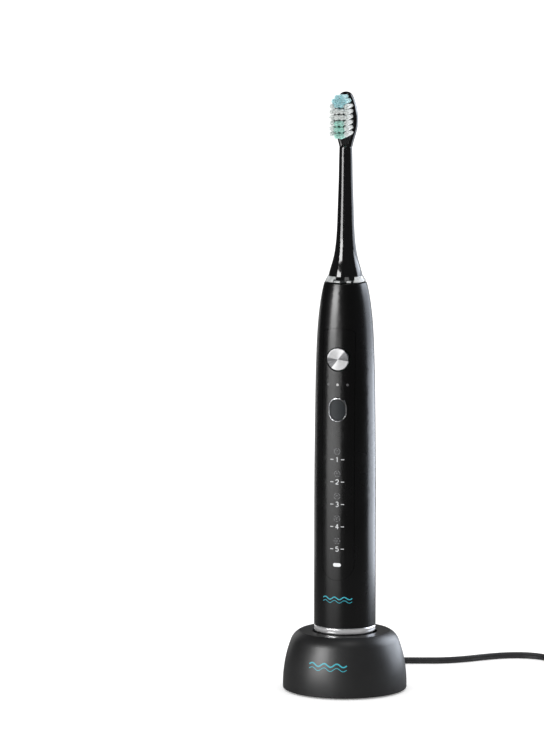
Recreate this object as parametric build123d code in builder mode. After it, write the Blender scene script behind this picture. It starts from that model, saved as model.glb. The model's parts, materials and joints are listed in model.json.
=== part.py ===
"""An electric toothbrush standing on its round inductive charger, in millimetres.

The origin is on the floor under the middle of the charger. +Z is up and the front,
with the buttons, faces -Y. The charger is the fixed body; the handle lifts off it.
"""

import math
import os

from build123d import *

os.makedirs("parts", exist_ok=True)

# ---------------------------------------------------------------- driving dimensions

# Handle's outside
handle_radius = 13.55
handle_straight_top = 79.0
handle_top = 180.0
handle_top_taper = 4.35  # the top's radius is less than the straight part's by this
handle_wall = 1.6
handle_end_thickness = 6.0
ring_height = 2.8
ring_gap = 0.2  # the chrome ring's clearance above the charger
slide_gap = 0.05

# Charger housing
charger_height = 26.0
charger_skirt = 13.1  # the widest radius is beyond the well's by this
charger_lip = 5.7  # width of the flat top round the well
charger_side_height = 3.0  # height at which the straight side turns into the dome
charger_side_bend = 53.0  # radius of the long arc up the side
charger_shoulder_height = 22.0  # where the side's arc meets the tighter top arc
charger_wall = 2.0
charger_gap_under = 0.6  # shadow gap between the housing's edge and the floor
well_margin = 0.55  # the well's mouth beyond the handle's outside
well_depth = 5.0
well_wall = 1.6
post_length = 9.0  # the oval post that the handle stands over
post_width = 7.0
post_height = 12.0
post_wall = 1.2
post_room = 0.6  # air above the post, inside the handle's foot

# Charger base and inside
foot_height = 1.2
foot_inset = 2.9  # the rubber ring's outer edge inside the housing's
foot_width = 2.5
foot_groove_depth = 0.4
plate_gap = 0.2
plate_thickness = 2.0
boss_radius = 2.5
boss_gap = 0.3  # between the screw bosses and the well's wall
boss_top = 23.0
screw_radius = 1.0
screw_head_radius = 2.0
screw_head_height = 1.3
screw_head_gap = 0.2
screw_grip = 7.0
screw_recess_length = 2.4
screw_recess_width = 0.6
screw_recess_depth = 0.7
standoff_height = 1.2
standoff_radius = 2.0
standoff_inset = 4.6
board_edge_gap = 0.4
board_thickness = 1.0
board_part_room = 3.8  # ring of the charger's board left free round the bobbin
bobbin_flange = 1.0
bobbin_bore = 2.3
bobbin_tube_wall = 0.7
winding_inset = 0.8
ferrite_radius = 2.1
ferrite_gap = 0.8

# Handle's foot
foot_step = 1.15  # the foot's radius is less than the handle's by this
cap_plug_top = 36.0
key_clearance = 0.3
seal_section = 0.7
seal_height = 31.5
coil_cavity_wall = 2.8
coil_cavity_clearance = 1.2
coil_cavity_floor = 23.6
receiver_gap = 0.3

# Control panel and controls
panel_top = 160.9
panel_bottom = 50.2
panel_width = 14.6
panel_top_rise = 1.3
panel_top_corner = 1.5
panel_depth = 0.9
panel_seam = 0.12
power_height = 147.4
power_radius = 4.95
power_gap = 0.35
power_sink = 0.15  # how far the flat face lies behind the panel's crest
power_gasket = 0.55
mode_height = 125.4
mode_width = 6.75
mode_length = 9.05
mode_gap = 0.2
mode_rim_wall = 0.55
mode_rim_stand = 0.25
mode_sink = 0.1
button_flange = 1.0
button_boss_radius = 1.9
press_travel = 0.4
dot_height = 136.4
dot_spacing = 4.3
dot_radius = 0.55
level_top = 107.2
level_pitch = 9.85
level_count = 5
level_radius = 1.6
pill_height = 57.2
pill_length = 3.5
pill_width = 1.6

# Inside the handle
chassis_clearance = 1.15
chassis_top = 151.0
disc_thickness = 3.0
rail_gap = 1.0  # between the battery and the chassis rails
rail_inset = 0.6
rail_width = 6.0
board_width = 11.2
board_bottom = 45.0
board_top = 158.0
board_gap = 0.4  # between the control board and the motor
board_screw_spacing = 8.4
board_screw_radius = 0.7
board_screw_head = 1.2
board_screw_head_height = 0.8
board_screw_grip = 3.6
led_height = 0.8
chip_height = 1.1
cell_radius = 7.0
cell_length = 49.0
cell_edge = 0.6  # between the battery and the chassis's edge behind it
cell_contact = 2.0
cradle_gap = 0.2
cradle_thickness = 2.0
motor_wall = 0.6
motor_length = 44.0
motor_cap = 3.0
motor_shaft_gap = 0.6
winding_thickness = 1.7
winding_gap = 0.5
bearing_wall = 1.65
bearing_width = 2.2
stator_end_gap = 3.0
magnet_thickness = 0.9
rotor_core_wall = 0.95
magnet_gap = 1.2
rotor_end_gap = 5.0
shaft_radius = 1.75
shaft_flat_depth = 0.5
switch_size = 4.5
switch_height = 1.0
plunger_radius = 1.1
plunger_clearance = 0.15
plunger_stand = 0.6
nose_wall = 1.7
nose_flange = 1.1
seal_wall = 2.25
seal_stand = 2.0  # height of the shaft's seal above the handle

# Brush head
head_gap = 0.3  # between the colour ring and the handle
id_ring_height = 2.5
id_ring_inset = 0.1
id_ring_slack = 1.0  # round the shaft's seal
tab_width = 8.0  # the neck's tab, in a notch of the colour ring
tab_drop = 1.3
tab_turn = 13.3  # degrees about +Z from the front
tab_root = 6.2
tab_gap = 0.05
neck_bottom_radius = 7.4
neck_length = 57.2
plate_length = 22.9  # of the head plate above the neck
head_width = 10.6
head_front = 1.8  # the bristle face, in front of the neck's axis
head_back = 2.2
head_edge = 1.5
socket_wall = 1.45
socket_lift = 1.2
socket_length = 20.0
shaft_end_gap = 2.0
tuft_radius = 0.93
tuft_length = 10.5
tuft_depth = 2.2
tuft_edge = 0.4  # between an outer tuft and the plate's outline
column_pitch = 2.1
outer_row_pitch = 2.35
outer_row_count = 6
outer_row_start = 5.35  # above the neck's top
inner_row_pitch = 2.66
inner_row_start = 4.4
crown_drop = 3.55  # the three blue tufts near the tip, below it
crown_spacing = 2.2
tip_drop = 1.85  # the two topmost tufts
tip_spacing = 1.9

# Cord and plug
cord_diameter = 3.0
cord_exit_height = 5.4
relief_stand = 0.6
relief_length = 10.0
relief_base_width = 5.6
relief_base_height = 4.4
relief_flange = 1.2
coil_centre = (102.0, 61.0)
coil_mid_radius = 16.5
coil_rows = 3  # turns side by side, and on each other
tie_thickness = 0.6
tie_width = 6.0
tie_squeeze = 0.4  # how far the tie presses the turns together on each side
tie_slack = 0.5
plug_centre_x = 130.0
plug_relief_start = 76.0
plug_relief_length = 5.0
plug_relief_width = 7.0
plug_relief_height = 6.0
plug_length = 18.0
plug_width = 15.4
plug_height = 8.0
shell_width = 12.0
shell_height = 4.5
shell_length = 12.0
shell_wall = 0.3
shell_grip = 4.0  # length of the shell inside the grip
insert_height = 1.8
insert_gap = 0.8

# ------------------------------------------------------------------ worked-out places

handle_top_radius = handle_radius - handle_top_taper
handle_shoulder = handle_top - handle_end_thickness
foot_radius = handle_radius - foot_step
wall_inner_radius = handle_radius - handle_wall
well_radius = handle_radius + well_margin
charger_radius = well_radius + charger_skirt
charger_top_radius = well_radius + charger_lip
plate_inner_radius = charger_radius - charger_wall
plate_radius = plate_inner_radius - plate_gap
foot_outer_radius = charger_radius - foot_inset
foot_inner_radius = foot_outer_radius - foot_width
boss_circle_radius = well_radius + well_wall + boss_gap + boss_radius
charger_board_radius = boss_circle_radius - boss_radius - board_edge_gap
standoff_circle_radius = charger_board_radius - standoff_inset
bobbin_radius = charger_board_radius - board_part_room
charger_winding_radius = bobbin_radius - winding_inset

recess_floor = charger_height - well_depth
well_underside = recess_floor - well_wall
post_top = recess_floor + post_height
ring_bottom = charger_height + ring_gap
handle_bottom = ring_bottom + ring_height
plate_bottom = charger_gap_under + 0.2
plate_top = plate_bottom + plate_thickness
charger_board_top = plate_top + standoff_height + board_thickness
coil_cavity_inner = post_length / 2 + key_clearance + coil_cavity_clearance
coil_cavity_outer = foot_radius - coil_cavity_wall

power_opening = power_radius + power_gap
mode_hole_width = mode_width + 2 * mode_gap
mode_hole_length = mode_length + 2 * mode_gap
mode_rim_width = mode_hole_width + 2 * mode_rim_wall
mode_rim_length = mode_hole_length + 2 * mode_rim_wall

chassis_radius = wall_inner_radius - chassis_clearance
rail_outer = chassis_radius - rail_inset
rail_inner = cell_radius + rail_gap
cell_offset = chassis_radius - cell_edge - cell_radius
cell_bottom = cap_plug_top + disc_thickness + cell_contact + 1.0
cell_top = cell_bottom + cell_length
battery_bulkhead = cell_top + cell_contact
motor_bottom = chassis_top - disc_thickness - motor_length
motor_seat = motor_bottom - disc_thickness
motor_top = motor_bottom + motor_length
rotor_core_radius = shaft_radius + rotor_core_wall
magnet_radius = rotor_core_radius + magnet_thickness
stator_inner = magnet_radius + winding_gap
motor_bore = stator_inner + winding_thickness
motor_radius = motor_bore + motor_wall
bearing_radius = shaft_radius + bearing_wall
board_back = -(motor_radius + board_gap)
board_face = board_back - board_thickness
board_screw_height = battery_bulkhead + disc_thickness / 2
shaft_bottom = motor_bottom + 1.0
seal_radius = shaft_radius + seal_wall
seal_top = handle_top + seal_stand
nose_radius = handle_top_radius - nose_wall

id_ring_bottom = handle_top + head_gap
id_ring_radius = handle_top_radius - id_ring_inset
id_ring_bore = seal_radius + id_ring_slack
neck_bottom = id_ring_bottom + id_ring_height
neck_top = neck_bottom + neck_length
head_tip = neck_top + plate_length
socket_radius = shaft_radius + socket_wall
socket_bottom = neck_bottom + socket_lift
socket_top = socket_bottom + socket_length
shaft_top = socket_top - shaft_end_gap
shaft_flat = shaft_radius - shaft_flat_depth

# The side-on curve of the handle above its straight part: height and radius.
barrel_curve = [
    (handle_straight_top, handle_radius),
    (119.0, handle_radius - 0.30),
    (150.0, handle_radius - 0.91),
    (167.6, handle_radius - 2.11),
    (handle_top, handle_top_radius),
]

# The waisted curve of the neck: height above its foot and radius.
neck_curve = [
    (0.0, neck_bottom_radius),
    (2.3, 6.86),
    (6.7, 5.58),
    (11.1, 4.68),
    (17.6, 3.98),
    (28.5, 3.52),
    (41.6, 3.10),
    (neck_top - neck_bottom, 2.75),
]


def barrel_radius(height):
    """Radius of the handle's outside at a height, by straight lines along its curve."""
    if height <= handle_straight_top:
        return handle_radius
    for (low, near), (high, far) in zip(barrel_curve, barrel_curve[1:]):
        if height <= high:
            return near + (far - near) * (height - low) / (high - low)
    return handle_top_radius


def barrel_section(inset):
    """Half section of the handle, its outside moved in by inset."""
    with BuildSketch(Plane.XZ) as section:
        with BuildLine():
            Polyline(
                (0, handle_top),
                (0, handle_bottom),
                (handle_radius - inset, handle_bottom),
                (handle_radius - inset, handle_straight_top),
            )
            Spline(
                [(radius - inset, height) for height, radius in barrel_curve],
                tangents=[(0, 1), (-0.30, 1)],
            )
            Line((handle_top_radius - inset, handle_top), (0, handle_top))
        make_face()
    return section.sketch


def front_skin(inner, outer):
    """The front of the handle's wall, between two insets of its outside."""
    with BuildPart(mode=Mode.PRIVATE) as layer:
        revolve(barrel_section(outer), axis=Axis.Z)
        revolve(barrel_section(inner), axis=Axis.Z, mode=Mode.SUBTRACT)
        with BuildSketch(Plane.XZ):
            Rectangle(4 * handle_radius, 4 * handle_top)
        extrude(amount=2 * handle_radius, mode=Mode.INTERSECT)
    return layer.part


def panel_outline(clearance):
    """The control panel's front outline: a half-round foot and a shallow arched top."""
    half = panel_width / 2 - clearance
    foot = panel_bottom + clearance + half
    shoulder = panel_top - panel_top_rise - clearance
    with BuildSketch(Plane.XZ) as outline:
        with BuildLine():
            Line((-half, shoulder), (-half, foot))
            ThreePointArc((-half, foot), (0, foot - half), (half, foot))
            Line((half, foot), (half, shoulder))
            ThreePointArc((half, shoulder), (0, panel_top - clearance), (-half, shoulder))
        make_face()
        corners = outline.vertices().group_by(Axis.Y)[-1]
        fillet(corners, radius=panel_top_corner)
    return outline.sketch


def level_heights():
    """Heights of the level windows, from the top one down."""
    return [level_top - index * level_pitch for index in range(level_count)]


def dome_arcs():
    """The dome's two arcs, as the distance from the axis, height and radius of each."""
    low = (charger_radius - charger_side_bend, charger_side_height, charger_side_bend)
    rise = charger_shoulder_height - charger_side_height
    shoulder = low[0] + math.sqrt(charger_side_bend**2 - rise**2)
    # The top arc has its middle on the line from the shoulder to the side arc's middle.
    inward = ((low[0] - shoulder) / charger_side_bend, -rise / charger_side_bend)
    across = charger_top_radius - shoulder
    over = charger_height - charger_shoulder_height
    bend = (across**2 + over**2) / (2 * (across * inward[0] + over * inward[1]))
    high = (shoulder + bend * inward[0], charger_shoulder_height + bend * inward[1], bend)
    return low, high


def dome_shoulder(inset):
    """Where the dome's two arcs meet, its surface moved in by inset."""
    low, high = dome_arcs()
    share = (low[2] - inset) / low[2]
    rise = charger_shoulder_height - charger_side_height
    return (
        low[0] + math.sqrt(low[2] ** 2 - rise**2) * share,
        charger_side_height + rise * share,
    )


def dome_top_radius(height, inset):
    """Radius of the dome above its shoulder, its surface moved in by inset."""
    middle, level, bend = dome_arcs()[1]
    return middle + math.sqrt((bend - inset) ** 2 - (height - level) ** 2)


# --------------------------------------------------------------------------- charger

with BuildPart() as charger_shell:
    ceiling = charger_height - charger_wall + 0.2
    well_outer = well_radius + well_wall
    with BuildSketch(Plane.XZ):
        with BuildLine():
            Line((charger_radius, charger_gap_under), (charger_radius, charger_side_height))
            side = TangentArc(
                (charger_radius, charger_side_height),
                dome_shoulder(0),
                tangent=(0, 1),
            )
            TangentArc(side @ 1, (charger_top_radius, charger_height), tangent=side % 1)
            Polyline(
                (charger_top_radius, charger_height),
                (well_radius, charger_height),
                (well_radius, recess_floor),
                (0, recess_floor),
                (0, well_underside),
                (well_outer, well_underside),
                (well_outer, ceiling),
                (dome_top_radius(ceiling, charger_wall), ceiling),
            )
            inside = TangentArc(
                (plate_inner_radius, charger_side_height),
                dome_shoulder(charger_wall),
                tangent=(0, 1),
            )
            TangentArc(
                inside @ 1, (dome_top_radius(ceiling, charger_wall), ceiling), tangent=inside % 1
            )
            Polyline(
                (plate_inner_radius, charger_side_height),
                (plate_inner_radius, charger_gap_under),
                (charger_radius, charger_gap_under),
            )
        make_face()
    revolve(axis=Axis.Z)
    rims = charger_shell.edges().filter_by(GeomType.CIRCLE)
    top_rims = rims.filter_by_position(Axis.Z, charger_height - 0.01, charger_height + 0.01)
    fillet(top_rims.sort_by(SortBy.RADIUS)[-1], radius=0.8)
    fillet(top_rims.sort_by(SortBy.RADIUS)[0], radius=0.5)
    foot_rim = charger_shell.edges().group_by(Axis.Z)[0].sort_by(SortBy.RADIUS)[-1]
    fillet(foot_rim, radius=0.5)
    # The hollow oval post, which keys the handle against turning.
    with BuildSketch(Plane.XY.offset(recess_floor)):
        SlotOverall(post_length, post_width)
    extrude(amount=post_height)
    fillet(charger_shell.edges().group_by(Axis.Z)[-1], radius=1.0)
    with BuildSketch(Plane.XY.offset(well_underside)):
        SlotOverall(post_length - 2 * post_wall, post_width - 2 * post_wall)
    extrude(amount=post_top - post_wall - well_underside, mode=Mode.SUBTRACT)
    # Screw bosses, merged with the dome above them.
    with BuildSketch(Plane.XY.offset(plate_top)):
        with PolarLocations(boss_circle_radius, 3, start_angle=30):
            Circle(boss_radius)
    extrude(amount=boss_top - plate_top)
    with BuildSketch(Plane.XY.offset(plate_top)):
        with PolarLocations(boss_circle_radius, 3, start_angle=30):
            Circle(screw_radius)
    extrude(amount=screw_grip, mode=Mode.SUBTRACT)
    # Opening for the strain relief in the back wall.
    with BuildSketch(Plane.XZ.offset(-(plate_inner_radius - 3))):
        with Locations((0, cord_exit_height)):
            SlotOverall(relief_base_width, relief_base_height)
    extrude(amount=-10, mode=Mode.SUBTRACT)

with BuildPart() as charger_base_plate:
    with BuildSketch(Plane.XY.offset(plate_bottom)):
        Circle(plate_radius)
    extrude(amount=plate_thickness)
    with BuildSketch(Plane.XY.offset(plate_bottom)):
        Circle(foot_outer_radius)
        Circle(foot_inner_radius, mode=Mode.SUBTRACT)
    extrude(amount=foot_groove_depth, mode=Mode.SUBTRACT)
    with BuildSketch(Plane.XY.offset(plate_top)):
        with PolarLocations(standoff_circle_radius, 3, start_angle=90):
            Circle(standoff_radius)
    extrude(amount=standoff_height)
    with BuildSketch(Plane.XY.offset(plate_bottom)):
        with PolarLocations(boss_circle_radius, 3, start_angle=30):
            Circle(screw_head_radius + screw_head_gap)
    extrude(amount=screw_head_height, mode=Mode.SUBTRACT)
    with BuildSketch(Plane.XY.offset(plate_bottom)):
        with PolarLocations(boss_circle_radius, 3, start_angle=30):
            Circle(screw_radius)
    extrude(amount=plate_thickness, mode=Mode.SUBTRACT)

with BuildPart() as charger_foot_ring:
    with BuildSketch(Plane.XY):
        Circle(foot_outer_radius)
        Circle(foot_inner_radius, mode=Mode.SUBTRACT)
    extrude(amount=foot_height)
    fillet(charger_foot_ring.edges().group_by(Axis.Z)[0], radius=0.3)

with BuildPart() as charger_screws:
    with BuildSketch(Plane.XY.offset(plate_bottom)):
        with PolarLocations(boss_circle_radius, 3, start_angle=30):
            Circle(screw_head_radius)
    extrude(amount=screw_head_height)
    with BuildSketch(Plane.XY.offset(plate_bottom + screw_head_height)):
        with PolarLocations(boss_circle_radius, 3, start_angle=30):
            Circle(screw_radius)
    extrude(amount=plate_thickness - screw_head_height + screw_grip)
    with BuildSketch(Plane.XY.offset(plate_bottom)):
        with PolarLocations(boss_circle_radius, 3, start_angle=30):
            Rectangle(screw_recess_length, screw_recess_width)
            Rectangle(screw_recess_width, screw_recess_length)
    extrude(amount=screw_recess_depth, mode=Mode.SUBTRACT)

with BuildPart() as charger_board:
    with BuildSketch(Plane.XY.offset(plate_top + standoff_height)):
        Circle(charger_board_radius)
    extrude(amount=board_thickness)

with BuildPart() as charger_board_parts:
    part_circle = (bobbin_radius + charger_board_radius) / 2
    with BuildSketch(Plane.XY.offset(charger_board_top)):
        with PolarLocations(part_circle, 4, start_angle=10):
            Circle(1.5)
    extrude(amount=5.0)
    with BuildSketch(Plane.XY.offset(charger_board_top)):
        with PolarLocations(part_circle, 4, start_angle=55):
            Rectangle(2.2, 4.0)
    extrude(amount=1.2)

with BuildPart() as charger_bobbin:
    with BuildSketch(Plane.XZ):
        with BuildLine():
            tube_radius = bobbin_bore + bobbin_tube_wall
            lower_face = charger_board_top + bobbin_flange
            upper_face = well_underside - bobbin_flange
            Polyline(
                (bobbin_bore, charger_board_top),
                (bobbin_radius, charger_board_top),
                (bobbin_radius, lower_face),
                (tube_radius, lower_face),
                (tube_radius, upper_face),
                (bobbin_radius, upper_face),
                (bobbin_radius, well_underside),
                (bobbin_bore, well_underside),
                close=True,
            )
        make_face()
    revolve(axis=Axis.Z)

with BuildPart() as charger_coil:
    with BuildSketch(Plane.XY.offset(lower_face)):
        Circle(charger_winding_radius)
        Circle(tube_radius, mode=Mode.SUBTRACT)
    extrude(amount=upper_face - lower_face)

with BuildPart() as charger_ferrite:
    with BuildSketch(Plane.XY.offset(charger_board_top)):
        Circle(ferrite_radius)
    extrude(amount=post_top - post_wall - ferrite_gap - charger_board_top)

# ------------------------------------------------------------------- cord and its plug

with BuildPart() as cord_strain_relief:
    flange_face = math.sqrt(plate_inner_radius**2 - (relief_base_width / 2 + 1) ** 2) - 0.1
    wall_face = charger_radius + relief_stand
    with BuildSketch(Plane.XZ.offset(-(flange_face - relief_flange))):
        with Locations((0, cord_exit_height)):
            SlotOverall(relief_base_width + 1.4, relief_base_height + 0.2)
    extrude(amount=-relief_flange)
    with BuildSketch(Plane.XZ.offset(-flange_face)):
        with Locations((0, cord_exit_height)):
            SlotOverall(relief_base_width, relief_base_height)
    extrude(amount=-(wall_face - flange_face))
    with BuildSketch(Plane.XZ.offset(-wall_face)):
        with Locations((0, cord_exit_height)):
            SlotOverall(relief_base_width - 0.2, relief_base_height - 0.2)
    with BuildSketch(Plane.XZ.offset(-(wall_face + relief_length))):
        with Locations((0, cord_exit_height)):
            SlotOverall(cord_diameter + 0.8, cord_diameter + 0.6)
    loft()

cord_start = wall_face + relief_length
cord_rest = cord_diameter / 2
coil_height = coil_rows * cord_diameter
coil_level = tie_thickness + coil_height / 2
coil_waist = coil_height - 2 * tie_squeeze
coil_inner = coil_mid_radius - coil_height / 2
coil_outer = coil_mid_radius + coil_height / 2

# The lead: out of the relief, down to the floor, round behind the charger to the coil.
lead_route = [
    (0.0, cord_start, cord_exit_height),
    (0.0, cord_start + 6.0, cord_exit_height),
    (1.2, cord_start + 12.6, 3.6),
    (5.0, cord_start + 18.7, 1.9),
    (11.8, cord_start + 23.2, cord_rest),
    (20.8, 63.3, cord_rest),
    (29.8, 66.2, cord_rest),
    (37.4, 71.8, cord_rest),
    (44.6, 79.2, cord_rest),
    (53.2, 85.8, cord_rest),
    (63.2, 88.3, cord_rest),
    (72.8, 84.8, cord_rest),
    (79.2, 76.6, cord_rest),
    (81.2, 66.4, 1.6),
    (81.8, 56.4, 1.9),
    (84.6, 48.2, 2.1),
]


def tail_route():
    """The short end of the cord, from the outside of the coil to the plug."""
    turn = math.radians(-48)
    reach = coil_outer - cord_diameter / 2
    start = (coil_centre[0] + reach * math.cos(turn), coil_centre[1] + reach * math.sin(turn))
    plug_level = plug_height / 2
    return [
        (start[0], start[1], coil_level + cord_diameter),
        (start[0] + 5.6, start[1] + 5.8, 7.1),
        (plug_centre_x - 1.4, start[1] + 14.0, 5.2),
        (plug_centre_x, plug_relief_start - 6.0, 4.1),
        (plug_centre_x, plug_relief_start, plug_level),
    ]


def corner_radii(points):
    """A radius for each corner: 0.45 of its shorter run over the tangent of half the turn."""
    radii = []
    for before, corner, after in zip(points, points[1:], points[2:]):
        first = Vector(*corner) - Vector(*before)
        second = Vector(*after) - Vector(*corner)
        half_turn = math.radians(first.get_angle(second) / 2)
        radii.append(0.45 * min(first.length, second.length) / math.tan(half_turn))
    return radii


def cord_tube(points):
    """A round tube of straight runs and tangent arcs along a route."""
    radii = corner_radii(points)
    with BuildPart(mode=Mode.PRIVATE) as tube:
        with BuildLine() as path:
            FilletPolyline(*points, radius=radii)
        spine = path.wire()
        with BuildSketch(Plane(origin=spine @ 0, z_dir=spine % 0)):
            Circle(cord_diameter / 2)
        sweep(path=spine)
    swept = math.pi * (cord_diameter / 2) ** 2 * spine.length
    print("cord radii", [round(radius, 1) for radius in radii])
    print("cord length", round(spine.length, 1))
    print("volume over section times length", round(tube.part.volume / swept, 4))
    return tube.part


with BuildPart() as cord_lead:
    add(cord_tube(lead_route))

with BuildPart() as cord_tail:
    add(cord_tube(tail_route()))

with BuildPart() as cord_coil:
    with BuildSketch(Plane.XZ):
        with Locations((coil_mid_radius, coil_level)):
            RectangleRounded(coil_height, coil_height, radius=cord_diameter / 2)
    revolve(axis=Axis.Z)
    # The turns are squeezed a little under the tie.
    with BuildSketch(Plane.YZ.offset(coil_inner - 2)):
        with Locations((0, coil_level)):
            Rectangle(tie_width, coil_height + 4)
            Rectangle(tie_width, coil_waist, mode=Mode.SUBTRACT)
    extrude(amount=coil_height + 4, mode=Mode.SUBTRACT)

coil_place = Location((coil_centre[0], coil_centre[1], 0))
cord_coil.part.locate(coil_place)

with BuildPart() as cord_tie:
    tie_bore = coil_height + 2 * tie_slack
    with BuildSketch(Plane.XZ.offset(tie_width / 2)):
        with Locations((coil_mid_radius, coil_level)):
            Rectangle(tie_bore + 2 * tie_thickness, coil_waist + 2 * tie_thickness)
            Rectangle(tie_bore, coil_waist, mode=Mode.SUBTRACT)
    extrude(amount=-tie_width)
    outer_corners = cord_tie.edges().filter_by(Axis.Y)
    fillet(outer_corners.group_by(Axis.Z)[0] + outer_corners.group_by(Axis.Z)[-1], radius=0.5)
cord_tie.part.locate(coil_place)

plug_level = plug_height / 2
plug_back = plug_relief_start + plug_relief_length
plug_front = plug_back + plug_length

with BuildPart() as plug_grip:
    with BuildSketch(Plane.XZ.offset(-plug_back)):
        with Locations((plug_centre_x, plug_level)):
            RectangleRounded(plug_width, plug_height, radius=2.2)
    extrude(amount=-plug_length)
    fillet(plug_grip.edges().group_by(Axis.Y)[0], radius=1.0)
    fillet(plug_grip.edges().group_by(Axis.Y)[-1], radius=0.6)
    with BuildSketch(Plane.XZ.offset(-plug_back)):
        with Locations((plug_centre_x, plug_level)):
            RectangleRounded(plug_relief_width, plug_relief_height, radius=2.0)
    with BuildSketch(Plane.XZ.offset(-(plug_back - plug_relief_length))):
        with Locations((plug_centre_x, plug_level)):
            RectangleRounded(cord_diameter + 1.0, cord_diameter + 1.0, radius=1.6)
    loft()
    with BuildSketch(Plane.XZ.offset(-plug_front)):
        with Locations((plug_centre_x, plug_level)):
            RectangleRounded(shell_width, shell_height, radius=0.8)
    extrude(amount=shell_grip, mode=Mode.SUBTRACT)

with BuildPart() as plug_shell:
    with BuildSketch(Plane.XZ.offset(-(plug_front - shell_grip))):
        with Locations((plug_centre_x, plug_level)):
            RectangleRounded(shell_width, shell_height, radius=0.8)
            RectangleRounded(
                shell_width - 2 * shell_wall,
                shell_height - 2 * shell_wall,
                radius=0.6,
                mode=Mode.SUBTRACT,
            )
    extrude(amount=-(shell_length + shell_grip))
    with BuildSketch(Plane.XY.offset(plug_level)):
        with Locations((plug_centre_x, plug_front + 0.55 * shell_length)):
            with GridLocations(5.4, 1, 2, 1):
                Rectangle(2.2, 2.0)
    extrude(amount=shell_height, mode=Mode.SUBTRACT)

with BuildPart() as plug_insert:
    insert_top = plug_level - shell_height / 2 + shell_wall + insert_height
    with BuildSketch(Plane.XZ.offset(-(plug_front - shell_grip))):
        with Locations((plug_centre_x, insert_top)):
            Rectangle(
                shell_width - 2 * (shell_wall + insert_gap),
                insert_height,
                align=(Align.CENTER, Align.MAX),
            )
    extrude(amount=-(shell_length + shell_grip - 0.6))

with BuildPart() as plug_contacts:
    with BuildSketch(Plane.XZ.offset(-(plug_front - shell_grip + 1.0))):
        with Locations((plug_centre_x, insert_top)):
            with GridLocations(2.2, 1, 4, 1):
                Rectangle(1.1, 0.25, align=(Align.CENTER, Align.MIN))
    extrude(amount=-(shell_length + shell_grip - 2.4))

# ---------------------------------------------------------------------------- handle

with BuildPart() as handle_body:
    revolve(barrel_section(0), axis=Axis.Z)
    with BuildPart(mode=Mode.PRIVATE) as hollow:
        revolve(barrel_section(handle_wall), axis=Axis.Z)
        split(bisect_by=Plane.XY.offset(handle_shoulder), keep=Keep.BOTTOM)
    add(hollow.part, mode=Mode.SUBTRACT)
    with BuildSketch(Plane.XY.offset(handle_shoulder - 1)):
        Circle(nose_radius)
    extrude(amount=handle_top - handle_shoulder + 2, mode=Mode.SUBTRACT)
    fillet(
        handle_body.edges().filter_by(GeomType.CIRCLE).group_by(Axis.Z)[-1].sort_by(
            SortBy.RADIUS)[-1],
        radius=0.4,
    )
    # The shallow pocket for the control panel.
    with BuildPart(mode=Mode.PRIVATE) as pocket:
        extrude(panel_outline(0), amount=2 * handle_radius)
        add(front_skin(panel_depth, -1), mode=Mode.INTERSECT)
    add(pocket.part, mode=Mode.SUBTRACT)
    # Openings behind the two buttons.
    with BuildSketch(Plane.XZ):
        with Locations((0, power_height)):
            Circle(power_opening + power_gasket)
        with Locations((0, mode_height)):
            SlotOverall(mode_rim_length, mode_rim_width, rotation=90)
    extrude(amount=2 * handle_radius, mode=Mode.SUBTRACT)

with BuildPart() as base_ring:
    with BuildSketch(Plane.XZ):
        with BuildLine():
            Polyline(
                (wall_inner_radius, ring_bottom),
                (handle_radius, ring_bottom),
                (handle_radius, handle_bottom),
                (wall_inner_radius, handle_bottom),
                close=True,
            )
        make_face()
    revolve(axis=Axis.Z)
    outer_edges = base_ring.edges().filter_by(GeomType.CIRCLE).sort_by(SortBy.RADIUS)[-2:]
    fillet(outer_edges, radius=0.7)

with BuildPart() as bottom_cap:
    plug_radius = wall_inner_radius - slide_gap
    with BuildSketch(Plane.XZ):
        with BuildLine():
            Polyline(
                (0, recess_floor),
                (foot_radius, recess_floor),
                (foot_radius, ring_bottom),
                (plug_radius, ring_bottom),
                (plug_radius, cap_plug_top),
                (0, cap_plug_top),
                close=True,
            )
        make_face()
    revolve(axis=Axis.Z)
    fillet(bottom_cap.edges().filter_by(GeomType.CIRCLE).group_by(Axis.Z)[0], radius=0.5)
    with BuildSketch(Plane.XY.offset(recess_floor)):
        SlotOverall(post_length + 2 * key_clearance, post_width + 2 * key_clearance)
    extrude(amount=post_height + post_room, mode=Mode.SUBTRACT)
    with BuildSketch(Plane.XY.offset(coil_cavity_floor)):
        Circle(coil_cavity_outer)
        Circle(coil_cavity_inner, mode=Mode.SUBTRACT)
    extrude(amount=cap_plug_top - coil_cavity_floor, mode=Mode.SUBTRACT)
    with BuildSketch(Plane.XY.offset(seal_height - seal_section)):
        Circle(plug_radius + 1)
        Circle(plug_radius - 2 * seal_section, mode=Mode.SUBTRACT)
    extrude(amount=2 * seal_section, mode=Mode.SUBTRACT)

with BuildPart() as cap_seal:
    with BuildSketch(Plane.XZ):
        with Locations((plug_radius - seal_section, seal_height)):
            Circle(seal_section)
    revolve(axis=Axis.Z)

with BuildPart() as receiver_coil:
    with BuildSketch(Plane.XY.offset(coil_cavity_floor)):
        Circle(coil_cavity_outer - receiver_gap)
        Circle(coil_cavity_inner, mode=Mode.SUBTRACT)
    extrude(amount=post_top - coil_cavity_floor - 1)

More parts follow.
